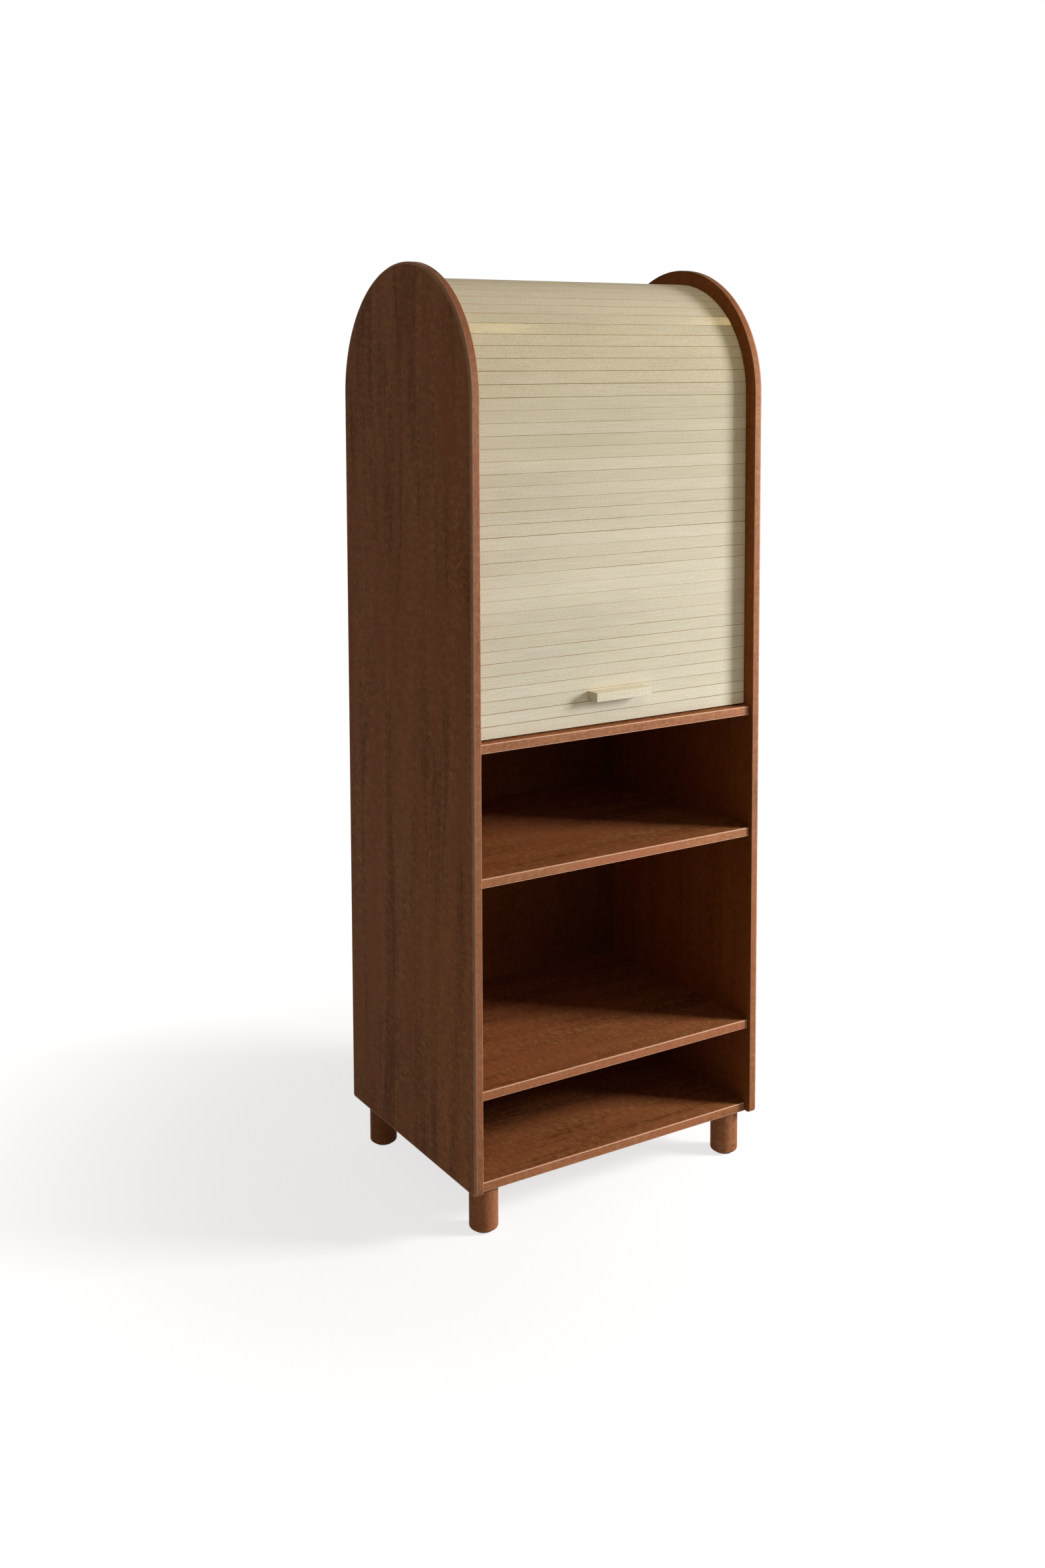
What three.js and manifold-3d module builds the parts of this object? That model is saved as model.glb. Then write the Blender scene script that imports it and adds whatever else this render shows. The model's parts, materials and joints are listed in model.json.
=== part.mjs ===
// Tambour cabinet: a roll shutter of narrow slats on canvas runs in milled grooves between two
// capsule topped side panels, above three open bays, and the carcass stands on four turned legs.
// Millimetres, +Z up, the front faces -Y, and the origin is on the floor under the middle.

import * as THREE from 'three';
import { mergeVertices } from 'three/addons/utils/BufferGeometryUtils.js';
import Module from 'manifold-3d';

const wasm = await Module();
wasm.setup();

// Overall sizes
const cabinetWidth = 580;
const cabinetDepth = 440;
const panelHeight = 1494;

// Side panels
const panelThickness = 16;
const panelRoundover = 5;
const panelInnerEase = 1;
const panelCornerExtra = 2;

// Boards between the side panels, with levels of their top faces above the carcass underside
const boardThickness = 16;
const boardEase = 2;
const boardCornerEase = 3;
const bottomSetback = 12;
const lowerShelfLevel = 170;
const upperShelfLevel = 517;
const shelfSetback = 6;
const compartmentFloorLevel = 732;
const compartmentFloorSetback = 8;
const stretcherWidth = 90;
const stretcherRise = 100;

// Roll shutter
const slatPitch = 20;
const slatThickness = 10;
const slatGap = 0.4;
const slatEase = 1.2;
const curtainRecess = 25.3;
const canvasThickness = 0.6;
const canvasSideMargin = 14;
const glueDepth = 0.2;
const leadSlatCount = 3;
const tailSlatCount = 2;
const curtainLift = 2;
const stackRoom = 5;

// Grooves and the panels that close the back
const grooveDepth = 8;
const grooveClearance = 0.3;
const slatEndClearance = 1;
const backPanelThickness = 8;
const backPanelRib = 3;
const backPanelTongue = 6;
const backPanelLift = 1;
const backPanelEase = 1.5;
const falseBackThickness = 4;
const falseBackTongue = 4;
const falseBackClearance = 4;

// Dowels
const dowelDiameter = 8;
const dowelLength = 30;
const dowelPanelDepth = 10;
const dowelInset = 55;
const stretcherDowelInset = 22;
const dowelChamfer = 1;
const holeSpare = 1;

// Legs, their hanger bolts and felt glides
const legDiameter = 48;
const legLength = 75;
const legFrontInset = 18;
const legRoundover = 5;
const legTopEase = 0.6;
const hangerBoltDiameter = 8;
const hangerBoltLegDepth = 36;
const hangerBoltBoardDepth = 11;
const hangerBoltChamfer = 1;
const glideDiameter = 34;
const glideThickness = 3;

// Handle and its screws
const handleLength = 110;
const handleHeight = 15.5;
const handleEase = 1;
const handleScrewSpacing = 64;
const handleScrewDiameter = 4;
const handleScrewHeadDiameter = 7.6;
const handleScrewHeadHeight = 2.4;
const handleScrewBite = 14;

// Felt stops
const padDiameter = 9;
const padSideInset = 26;
const bufferWidth = 24;
const bufferThickness = 7;

// Fits and facets
const fitGap = 0.3;
const cutOverrun = 3;
const archSegments = 48;
const roundoverSegments = 4;
const easeSegments = 2;
const legSegments = 28;
const pinSegments = 8;
const weldTolerance = 1e-4;

// Places worked out from the sizes above
const halfWidth = cabinetWidth / 2;
const innerHalf = halfWidth - panelThickness;
const halfDepth = cabinetDepth / 2;
const carcassBottom = legLength + glideThickness;
const springing = carcassBottom + panelHeight - halfDepth;
const floorTop = carcassBottom + compartmentFloorLevel;

const hingeRadius = halfDepth - curtainRecess - slatThickness;
const slatFaceRadius = hingeRadius + slatThickness;
const curtainBottom = floorTop + curtainLift;
const frontSlatCount = Math.round((springing - curtainBottom) / slatPitch);
const frontPitch = (springing - curtainBottom) / frontSlatCount;
const archSlatCount = Math.round((Math.PI * hingeRadius) / slatPitch);
const archStep = Math.PI / archSlatCount;
const archChord = 2 * hingeRadius * Math.sin(archStep / 2);
const archApothem = hingeRadius * Math.cos(archStep / 2);
const leadTop = curtainBottom + leadSlatCount * frontPitch;
const travel = springing - leadTop - stackRoom;
const tailBottom = springing - tailSlatCount * frontPitch;

const slatHalf = innerHalf + grooveDepth - slatEndClearance;
const canvasHalf = innerHalf - canvasSideMargin;
const grooveInner = archApothem - grooveClearance;
const grooveOuter = slatFaceRadius + grooveClearance;
const backInner = grooveOuter + backPanelRib + fitGap;
const backOuter = backInner + backPanelThickness;
const falseBackRear = hingeRadius - canvasThickness - falseBackClearance;
const falseBackFront = falseBackRear - falseBackThickness;

const dowelRadius = dowelDiameter / 2;
const dowelHole = dowelRadius + fitGap;
const legRadius = legDiameter / 2;
const legX = innerHalf - legRadius;
const legY = halfDepth - legFrontInset - legRadius;
const boltRadius = hangerBoltDiameter / 2;
const boltHole = boltRadius + fitGap;
const handleLevel = curtainBottom + (leadSlatCount - 1 / 2) * frontPitch;
const screwRadius = handleScrewDiameter / 2;
const screwHeadRadius = handleScrewHeadDiameter / 2;

// Finishes
const stainedWood = new THREE.MeshStandardMaterial({ color: 0x6b3f28, roughness: 0.5, metalness: 0 });
const creamSlat = new THREE.MeshStandardMaterial({ color: 0xd2c8a6, roughness: 0.42, metalness: 0 });
const canvasCloth = new THREE.MeshStandardMaterial({ color: 0xb9ae92, roughness: 0.95, metalness: 0 });
const beech = new THREE.MeshStandardMaterial({ color: 0xc9a477, roughness: 0.7, metalness: 0 });
const zincSteel = new THREE.MeshStandardMaterial({ color: 0xa9abad, roughness: 0.35, metalness: 1 });
const felt = new THREE.MeshStandardMaterial({ color: 0x4a4642, roughness: 1, metalness: 0 });

// Turns a drawing in the side view, y across and z up, so that its depth runs along x
const sideView = new THREE.Matrix4().makeBasis(
  new THREE.Vector3(0, 1, 0),
  new THREE.Vector3(0, 0, 1),
  new THREE.Vector3(1, 0, 0),
);

function toSolid(geometry) {
  const bare = geometry.clone();
  bare.deleteAttribute('normal');
  bare.deleteAttribute('uv');
  const merged = mergeVertices(bare, weldTolerance);
  return new wasm.Manifold(new wasm.Mesh({
    numProp: 3,
    vertProperties: new Float32Array(merged.getAttribute('position').array),
    triVerts: new Uint32Array(merged.getIndex().array),
  }));
}

function toGeometry(solid) {
  const mesh = solid.getMesh();
  const geometry = new THREE.BufferGeometry();
  geometry.setAttribute('position', new THREE.BufferAttribute(mesh.vertProperties, 3));
  geometry.setIndex(new THREE.BufferAttribute(mesh.triVerts, 1));
  geometry.computeVertexNormals();
  return geometry;
}

// A drawing in the side view, pushed from one x to another
function extrudeAcross(shape, fromX, toX, curveSegments = easeSegments) {
  const geometry = new THREE.ExtrudeGeometry(shape, {
    depth: toX - fromX, bevelEnabled: false, curveSegments,
  });
  geometry.applyMatrix4(sideView);
  geometry.translate(fromX, 0, 0);
  return toSolid(geometry);
}

// A drawing in the plan, pushed from one z to another
function extrudeUp(shape, fromZ, toZ, curveSegments = easeSegments) {
  const geometry = new THREE.ExtrudeGeometry(shape, {
    depth: toZ - fromZ, bevelEnabled: false, curveSegments,
  });
  geometry.translate(0, 0, fromZ);
  return toSolid(geometry);
}

// A turned piece standing on z = 0, from its profile of radius and height
function turned(profile, segments) {
  const points = profile.map(([radius, height]) => new THREE.Vector2(radius, height));
  return new THREE.LatheGeometry(points, segments).rotateX(Math.PI / 2);
}

// A round hole along x or z, as a cutter centred on a place
function roundCutter(radius, length, place, alongX) {
  const geometry = new THREE.CylinderGeometry(radius, radius, length, pinSegments);
  geometry.rotateX(Math.PI / 2);
  if (alongX) geometry.rotateY(Math.PI / 2);
  geometry.translate(place.x, place.y, place.z);
  return toSolid(geometry);
}

function blockCutter(fromX, toX, fromY, toY, fromZ, toZ) {
  const geometry = new THREE.BoxGeometry(toX - fromX, toY - fromY, toZ - fromZ);
  geometry.translate((fromX + toX) / 2, (fromY + toY) / 2, (fromZ + toZ) / 2);
  return toSolid(geometry);
}

function cutAll(solid, cutters) {
  return cutters.reduce((rest, cutter) => rest.subtract(cutter), solid);
}

function joinAll(solids) {
  return solids.reduce((whole, solid) => whole.add(solid));
}

function piece(name, geometry, material) {
  const mesh = new THREE.Mesh(geometry, material);
  mesh.name = name;
  return mesh;
}

// Rectangle in the side view whose two front corners are rounded
function easedSection(front, back, bottom, top, ease) {
  const shape = new THREE.Shape();
  shape.moveTo(front + ease, bottom);
  shape.lineTo(back, bottom);
  shape.lineTo(back, top);
  shape.lineTo(front + ease, top);
  shape.absarc(front + ease, top - ease, ease, Math.PI / 2, Math.PI, false);
  shape.lineTo(front, bottom + ease);
  shape.absarc(front + ease, bottom + ease, ease, Math.PI, Math.PI * 1.5, false);
  return shape;
}

// Rectangle in the plan whose two front corners are rounded
function easedPlan(half, front, back, ease) {
  const shape = new THREE.Shape();
  shape.moveTo(-half + ease, front);
  shape.lineTo(half - ease, front);
  shape.absarc(half - ease, front + ease, ease, -Math.PI / 2, 0, false);
  shape.lineTo(half, back);
  shape.lineTo(-half, back);
  shape.lineTo(-half, front + ease);
  shape.absarc(-half + ease, front + ease, ease, Math.PI, Math.PI * 1.5, false);
  return shape;
}

// A block between two half widths with its front arrises and front corners eased
function easedBlock(half, front, back, bottom, top, ease, cornerEase) {
  const section = extrudeAcross(easedSection(front, back, bottom, top, ease), -half, half);
  const plan = extrudeUp(
    easedPlan(half, front, back + cutOverrun, cornerEase),
    bottom - cutOverrun,
    top + cutOverrun,
  );
  return section.intersect(plan);
}

// The two ends of a span that lies on the left, side -1, or the right, side 1
function spanOn(side, from, to) {
  return side > 0 ? [from, to] : [-to, -from];
}

// Boards between the side panels
const boards = [
  {
    name: 'bottom_panel',
    front: -halfDepth + bottomSetback,
    back: backInner,
    top: carcassBottom + boardThickness,
    inset: dowelInset,
  },
  {
    name: 'lower_shelf',
    front: -halfDepth + shelfSetback,
    back: backInner,
    top: carcassBottom + lowerShelfLevel,
    inset: dowelInset,
  },
  {
    name: 'upper_shelf',
    front: -halfDepth + shelfSetback,
    back: backInner,
    top: carcassBottom + upperShelfLevel,
    inset: dowelInset,
  },
  {
    name: 'compartment_floor',
    front: -halfDepth + compartmentFloorSetback,
    back: backInner,
    top: floorTop,
    inset: dowelInset,
  },
  {
    name: 'top_stretcher',
    front: -stretcherWidth / 2,
    back: stretcherWidth / 2,
    top: springing + stretcherRise + boardThickness,
    inset: stretcherDowelInset,
  },
];

// Each board is held by a front and a rear dowel at either end
const dowels = boards.flatMap((board) => [-1, 1].flatMap((side) => ['front', 'rear'].map((end) => ({
  name: `dowel_${board.name}_${side < 0 ? 'left' : 'right'}_${end}`,
  board,
  side,
  y: end === 'front' ? board.front + board.inset : board.back - board.inset,
  z: board.top - boardThickness / 2,
}))));

// Legs stand inside the side panels, at the same distance from the front and the back
const legPlaces = [
  { name: 'front_left', x: -legX, y: -legY },
  { name: 'front_right', x: legX, y: -legY },
  { name: 'rear_left', x: -legX, y: legY },
  { name: 'rear_right', x: legX, y: legY },
];

function board(spec) {
  const bottom = spec.top - boardThickness;
  const blank = easedBlock(innerHalf, spec.front, spec.back, bottom, spec.top, boardEase, boardCornerEase);
  const dowelReach = dowelLength - dowelPanelDepth + holeSpare;
  const holes = dowels.filter((dowel) => dowel.board === spec).map((dowel) => {
    const [fromX, toX] = spanOn(dowel.side, innerHalf - dowelReach, innerHalf + cutOverrun);
    return roundCutter(dowelHole, toX - fromX, { x: (fromX + toX) / 2, y: dowel.y, z: dowel.z }, true);
  });
  return cutAll(blank, holes);
}

function bottomPanel(spec) {
  const depth = hangerBoltBoardDepth + holeSpare;
  const holes = legPlaces.map((leg) => roundCutter(
    boltHole,
    depth + cutOverrun,
    { x: leg.x, y: leg.y, z: carcassBottom + (depth - cutOverrun) / 2 },
    false,
  ));
  return cutAll(board(spec), holes);
}

// Outline of a side panel in the side view, drawn in all round by an inset
function panelOutline(inset) {
  const corner = panelRoundover + panelCornerExtra;
  const points = [];
  const arc = (y, z, radius, from, to, segments) => {
    for (let i = 0; i <= segments; i += 1) {
      const angle = from + ((to - from) * i) / segments;
      points.push(new THREE.Vector2(y + radius * Math.cos(angle), z + radius * Math.sin(angle)));
    }
  };
  const low = carcassBottom + corner;
  arc(-halfDepth + corner, low, corner - inset, Math.PI, Math.PI * 1.5, easeSegments);
  arc(halfDepth - corner, low, corner - inset, Math.PI * 1.5, Math.PI * 2, easeSegments);
  arc(0, springing, halfDepth - inset, 0, Math.PI, archSegments);
  return points;
}

// Sections of a side panel: how far out from the inner face, and how far the outline draws in there
function panelStations() {
  const stations = [];
  for (let i = 0; i <= easeSegments; i += 1) {
    const angle = (Math.PI / 2) * (i / easeSegments);
    stations.push({
      out: panelInnerEase * (1 - Math.cos(angle)),
      inset: panelInnerEase * (1 - Math.sin(angle)),
    });
  }
  for (let i = 0; i <= roundoverSegments; i += 1) {
    const angle = (Math.PI / 2) * (i / roundoverSegments);
    stations.push({
      out: panelThickness - panelRoundover * (1 - Math.sin(angle)),
      inset: panelRoundover * (1 - Math.cos(angle)),
    });
  }
  return stations;
}

// Skin through outlines of equal length at rising x, closed by a flat cap at either end
function loftAcross(sections) {
  const count = sections[0].outline.length;
  const positions = sections.flatMap(({ x, outline }) => outline.flatMap((p) => [x, p.x, p.y]));
  const index = [];
  for (let s = 0; s + 1 < sections.length; s += 1) {
    for (let j = 0; j < count; j += 1) {
      const a = s * count + j;
      const b = s * count + ((j + 1) % count);
      index.push(a, b, b + count, a, b + count, a + count);
    }
  }
  const last = (sections.length - 1) * count;
  THREE.ShapeUtils.triangulateShape(sections[0].outline, []).forEach(([a, b, c]) => index.push(c, b, a));
  THREE.ShapeUtils.triangulateShape(sections.at(-1).outline, [])
    .forEach(([a, b, c]) => index.push(a + last, b + last, c + last));
  const geometry = new THREE.BufferGeometry();
  geometry.setAttribute('position', new THREE.Float32BufferAttribute(positions, 3));
  geometry.setIndex(index);
  return toSolid(geometry);
}

// The track that the slat ends run in: up the front, over the arch and down the back
function trackShape() {
  const shape = new THREE.Shape();
  shape.moveTo(-grooveInner, floorTop);
  shape.lineTo(-grooveInner, springing);
  shape.absarc(0, springing, grooveInner, Math.PI, 0, true);
  shape.lineTo(grooveInner, floorTop);
  shape.lineTo(grooveOuter, floorTop);
  shape.lineTo(grooveOuter, springing);
  shape.absarc(0, springing, grooveOuter, 0, Math.PI, false);
  shape.lineTo(-grooveOuter, floorTop);
  return shape;
}

function sidePanel(side) {
  const sections = panelStations().map(({ out, inset }) => ({
    x: side * (innerHalf + out),
    outline: panelOutline(inset),
  }));
  if (side < 0) sections.reverse();

  const [trackFrom, trackTo] = spanOn(side, innerHalf - cutOverrun, innerHalf + grooveDepth);
  const track = extrudeAcross(trackShape(), trackFrom, trackTo, archSegments);

  const [backFrom, backTo] = spanOn(side, innerHalf - cutOverrun, innerHalf + backPanelTongue + fitGap);
  const backGroove = blockCutter(
    backFrom,
    backTo,
    backInner - fitGap,
    backOuter + fitGap,
    carcassBottom - cutOverrun,
    springing + fitGap,
  );

  const [falseFrom, falseTo] = spanOn(side, innerHalf - cutOverrun, innerHalf + falseBackTongue + fitGap);
  const falseGroove = blockCutter(
    falseFrom,
    falseTo,
    falseBackFront - fitGap,
    falseBackRear + fitGap,
    floorTop,
    springing + fitGap,
  );

  const holes = dowels.filter((dowel) => dowel.side === side).map((dowel) => {
    const [fromX, toX] = spanOn(side, innerHalf - cutOverrun, innerHalf + dowelPanelDepth + holeSpare);
    return roundCutter(dowelHole, toX - fromX, { x: (fromX + toX) / 2, y: dowel.y, z: dowel.z }, true);
  });
  return cutAll(loftAcross(sections), [track, backGroove, falseGroove, ...holes]);
}

// The back panel stands in its grooves, and its top edge is eased towards the curtain
function backPanel() {
  const shape = new THREE.Shape();
  shape.moveTo(backInner, carcassBottom + backPanelLift);
  shape.lineTo(backOuter, carcassBottom + backPanelLift);
  shape.lineTo(backOuter, springing - backPanelEase);
  shape.lineTo(backOuter - backPanelEase, springing);
  shape.lineTo(backInner + backPanelEase, springing);
  shape.lineTo(backInner, springing - backPanelEase);
  const half = innerHalf + backPanelTongue;
  return extrudeAcross(shape, -half, half);
}

// The false back keeps what is stored clear of the curtain's rear run
function falseBack() {
  const half = innerHalf + falseBackTongue;
  return blockCutter(-half, half, falseBackFront, falseBackRear, floorTop, springing);
}

// Section of one slat: u runs along the curtain, v out of its face, and v = 0 is glued to the canvas
function slatSection(pitch, sink) {
  const half = (pitch - slatGap) / 2;
  const shape = new THREE.Shape();
  shape.moveTo(-half, -sink);
  shape.lineTo(half, -sink);
  shape.lineTo(half, slatThickness - slatEase);
  shape.absarc(half - slatEase, slatThickness - slatEase, slatEase, 0, Math.PI / 2, false);
  shape.lineTo(-half + slatEase, slatThickness);
  shape.absarc(-half + slatEase, slatThickness - slatEase, slatEase, Math.PI / 2, Math.PI, false);
  return shape;
}

// Turns a slat's section so that v points out at an angle in the side view, and moves it to a place
function slatPlace(angle, y, z) {
  const out = new THREE.Vector3(0, Math.cos(angle), Math.sin(angle));
  const along = new THREE.Vector3(0, Math.sin(angle), -Math.cos(angle));
  return new THREE.Matrix4()
    .makeBasis(along, out, new THREE.Vector3(1, 0, 0))
    .setPosition(-slatHalf, y, z);
}

function slatGeometry(pitch, sink) {
  return new THREE.ExtrudeGeometry(slatSection(pitch, sink), {
    depth: slatHalf * 2, bevelEnabled: false, curveSegments: easeSegments,
  });
}

// The n-th slat up the front, counted from the lowest as 0
function frontSlat(n, sink = 0) {
  const middle = curtainBottom + (n + 1 / 2) * frontPitch;
  return toSolid(slatGeometry(frontPitch, sink).applyMatrix4(slatPlace(Math.PI, -hingeRadius, middle)));
}

// The n-th slat over the arch, counted from the front springing
function archSlat(n) {
  const angle = Math.PI - (n + 1 / 2) * archStep;
  const place = slatPlace(
    angle,
    archApothem * Math.cos(angle),
    springing + archApothem * Math.sin(angle),
  );
  return toSolid(slatGeometry(archChord, glueDepth).applyMatrix4(place));
}

// The n-th slat down the back, counted from the rear springing
function rearSlat(n) {
  const middle = springing - (n + 1 / 2) * frontPitch;
  return toSolid(slatGeometry(frontPitch, 0).applyMatrix4(slatPlace(0, hingeRadius, middle)));
}

// Flat canvas behind a straight run on the front, side -1, or at the back, side 1
function straightCanvas(side, fromZ, toZ) {
  const [fromY, toY] = spanOn(side, hingeRadius - canvasThickness, hingeRadius);
  return blockCutter(-canvasHalf, canvasHalf, fromY, toY, fromZ, toZ);
}

// Canvas under the arch, folded at each joint between two slats
function archCanvas() {
  const ring = (radius) => Array.from({ length: archSlatCount + 1 }, (_, i) => new THREE.Vector2(
    radius * Math.cos(i * archStep),
    springing + radius * Math.sin(i * archStep),
  ));
  const outline = [...ring(hingeRadius), ...ring(hingeRadius - canvasThickness).reverse()];
  return extrudeAcross(new THREE.Shape(outline), -canvasHalf, canvasHalf);
}

// Slats and canvas that lie between the lead slats and the front springing, glued into one sheet
function frontCurtain() {
  const slats = Array.from(
    { length: frontSlatCount - leadSlatCount },
    (_, i) => frontSlat(leadSlatCount + i, glueDepth),
  );
  return joinAll([straightCanvas(-1, leadTop + fitGap, springing - fitGap), ...slats]);
}

// Slats and canvas over the arch, glued into one sheet
function archCurtain() {
  return joinAll([archCanvas(), ...Array.from({ length: archSlatCount }, (_, i) => archSlat(i))]);
}

// Handle screws are sunk into the back of the slat, under the canvas
const screwPlaces = [-handleScrewSpacing / 2, handleScrewSpacing / 2];

function handleScrewProfile(gap) {
  const reach = slatThickness + handleScrewBite + 2 * gap;
  return [
    [0, 0],
    [screwHeadRadius + gap, 0],
    [screwRadius + gap, handleScrewHeadHeight + 2 * gap],
    [screwRadius + gap, reach],
    [0, reach],
  ];
}

// A screw, or the hole for it, pointing out of the front of the curtain
function handleScrew(gap) {
  return turned(handleScrewProfile(gap), pinSegments).rotateX(Math.PI / 2);
}

function cutScrewHoles(solid) {
  const cutters = screwPlaces.map((x) => toSolid(
    handleScrew(fitGap).translate(x, -hingeRadius, handleLevel),
  ));
  return cutAll(solid, cutters);
}

function handle() {
  const block = easedBlock(
    handleLength / 2,
    -halfDepth,
    -slatFaceRadius,
    handleLevel - handleHeight / 2,
    handleLevel + handleHeight / 2,
    handleEase,
    handleEase,
  );
  return cutScrewHoles(block);
}

// Leg profile: a bored top for the hanger bolt, a straight side and a rounded foot
function legProfile() {
  const boreBottom = legLength - hangerBoltLegDepth - holeSpare;
  const foot = Array.from({ length: easeSegments + 1 }, (_, i) => {
    const angle = (Math.PI / 2) * (i / easeSegments);
    return [
      legRadius - legRoundover * (1 - Math.cos(angle)),
      legRoundover * (1 - Math.sin(angle)),
    ];
  });
  return [
    [0, boreBottom],
    [boltHole, boreBottom],
    [boltHole, legLength],
    [legRadius - legTopEase, legLength],
    [legRadius, legLength - legTopEase],
    ...foot,
    [0, 0],
  ].reverse();
}

function pinProfile(radius, length, chamfer) {
  return [
    [0, 0],
    [radius - chamfer, 0],
    [radius, chamfer],
    [radius, length - chamfer],
    [radius - chamfer, length],
    [0, length],
  ];
}

function glideProfile() {
  const radius = glideDiameter / 2;
  return [[0, 0], [radius, 0], [radius, glideThickness], [0, glideThickness]];
}

// Carcass
const carcass = new THREE.Group();
carcass.add(piece('side_panel_left', toGeometry(sidePanel(-1)), stainedWood));
carcass.add(piece('side_panel_right', toGeometry(sidePanel(1)), stainedWood));
boards.forEach((spec) => {
  const solid = spec.name === 'bottom_panel' ? bottomPanel(spec) : board(spec);
  carcass.add(piece(spec.name, toGeometry(solid), stainedWood));
});
carcass.add(piece('back_panel', toGeometry(backPanel()), stainedWood));
carcass.add(piece('false_back', toGeometry(falseBack()), stainedWood));

dowels.forEach((dowel) => {
  const profile = pinProfile(dowelRadius, dowelLength, dowelChamfer);
  const pin = piece(dowel.name, turned(profile, pinSegments).rotateY(Math.PI / 2), beech);
  const [fromX] = spanOn(dowel.side, innerHalf - dowelLength + dowelPanelDepth, innerHalf + dowelPanelDepth);
  pin.position.set(fromX, dowel.y, dowel.z);
  carcass.add(pin);
});

// Legs
const legs = new THREE.Group();
legPlaces.forEach(({ name, x, y }) => {
  const stand = new THREE.Group();
  stand.position.set(x, y, 0);

  const glide = piece(`glide_${name}`, turned(glideProfile(), legSegments), felt);
  stand.add(glide);

  const leg = piece(`leg_${name}`, turned(legProfile(), legSegments), stainedWood);
  leg.position.z = glideThickness;
  stand.add(leg);

  const boltLength = hangerBoltLegDepth + hangerBoltBoardDepth;
  const boltProfile = pinProfile(boltRadius, boltLength, hangerBoltChamfer);
  const bolt = piece(`leg_bolt_${name}`, turned(boltProfile, pinSegments), zincSteel);
  bolt.position.z = carcassBottom - hangerBoltLegDepth;
  stand.add(bolt);
  legs.add(stand);
});

// Lead slats: the lowest slats of the curtain, which carry the handle
const lead = new THREE.Group();
for (let n = 0; n < leadSlatCount; n += 1) {
  const carriesHandle = n === leadSlatCount - 1;
  const solid = carriesHandle ? cutScrewHoles(frontSlat(n)) : frontSlat(n);
  lead.add(piece(`lead_slat_${n + 1}`, toGeometry(solid), creamSlat));
}
lead.add(piece('lead_canvas', toGeometry(straightCanvas(-1, curtainBottom, leadTop)), canvasCloth));
lead.add(piece('handle', toGeometry(handle()), creamSlat));
screwPlaces.forEach((x, i) => {
  const screw = piece(`handle_screw_${i + 1}`, handleScrew(0), zincSteel);
  screw.position.set(x, -hingeRadius - fitGap, handleLevel);
  lead.add(screw);
});

// Curtain between the lead slats and the tail
const curtain = new THREE.Group();
curtain.add(piece('front_curtain', toGeometry(frontCurtain()), creamSlat));
curtain.add(piece('arch_curtain', toGeometry(archCurtain()), creamSlat));

// Tail slats: the end of the curtain, just below the rear springing
const tail = new THREE.Group();
for (let n = 0; n < tailSlatCount; n += 1) {
  tail.add(piece(`tail_slat_${n + 1}`, toGeometry(rearSlat(n)), creamSlat));
}
tail.add(piece('tail_canvas', toGeometry(straightCanvas(1, tailBottom, springing - fitGap)), canvasCloth));

// Felt pads that the lead slats land on, and buffers that the tail lands on
const stops = new THREE.Group();
[-1, 1].forEach((side) => {
  const hand = side < 0 ? 'left' : 'right';
  const x = side * (innerHalf - padSideInset);

  const padGeometry = turned(pinProfile(padDiameter / 2, curtainLift - fitGap, fitGap), pinSegments);
  const pad = piece(`closing_pad_${hand}`, padGeometry, felt);
  pad.position.set(x, -hingeRadius - slatThickness / 2, floorTop);
  stops.add(pad);

  const bufferHeight = tailBottom - travel - floorTop - fitGap;
  const bufferGeometry = new THREE.BoxGeometry(bufferWidth, bufferThickness, bufferHeight);
  const buffer = piece(`tail_buffer_${hand}`, bufferGeometry, felt);
  buffer.position.set(x, hingeRadius + slatThickness / 2, floorTop + bufferHeight / 2);
  stops.add(buffer);
});

const cabinet = new THREE.Group();
cabinet.add(carcass, legs, lead, curtain, tail, stops);

export default cabinet;
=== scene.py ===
"""Looks for a tall tambour cabinet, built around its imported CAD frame.

The carcass is stained brown wood: two capsule topped side panels, four boards, a back and turned
legs. A roll shutter of narrow cream slats, glued to canvas, runs in the panels' grooves. Everything
is in metres in the frame's own axes: +Z up, the front faces -Y, and the floor is at z = 0.
"""

import json
import logging
import math
import random
from collections.abc import Callable, Iterable
from dataclasses import dataclass, field
from enum import Enum

import bmesh
import bpy
from mathutils import Matrix, Vector

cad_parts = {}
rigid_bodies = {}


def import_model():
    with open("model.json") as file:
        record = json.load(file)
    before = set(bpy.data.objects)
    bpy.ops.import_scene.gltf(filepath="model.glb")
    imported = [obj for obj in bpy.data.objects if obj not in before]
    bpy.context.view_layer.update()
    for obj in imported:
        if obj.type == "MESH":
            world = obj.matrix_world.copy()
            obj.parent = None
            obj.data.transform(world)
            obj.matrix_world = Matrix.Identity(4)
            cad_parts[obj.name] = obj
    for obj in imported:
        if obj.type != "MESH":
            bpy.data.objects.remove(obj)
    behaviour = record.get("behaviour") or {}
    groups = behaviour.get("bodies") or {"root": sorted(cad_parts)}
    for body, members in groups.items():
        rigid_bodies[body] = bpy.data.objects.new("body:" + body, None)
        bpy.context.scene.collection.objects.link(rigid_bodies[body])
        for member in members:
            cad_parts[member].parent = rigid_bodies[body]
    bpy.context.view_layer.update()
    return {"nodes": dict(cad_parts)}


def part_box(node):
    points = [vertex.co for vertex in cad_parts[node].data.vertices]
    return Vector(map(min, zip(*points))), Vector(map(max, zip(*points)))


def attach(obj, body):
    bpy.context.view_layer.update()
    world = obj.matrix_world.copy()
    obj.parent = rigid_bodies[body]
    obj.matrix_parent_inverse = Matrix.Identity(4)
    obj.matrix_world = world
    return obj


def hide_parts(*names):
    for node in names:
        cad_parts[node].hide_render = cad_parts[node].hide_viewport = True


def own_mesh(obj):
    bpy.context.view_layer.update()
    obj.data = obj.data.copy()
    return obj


LOG = logging.getLogger("tambour_cabinet")
Colour = tuple[float, float, float]
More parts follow.
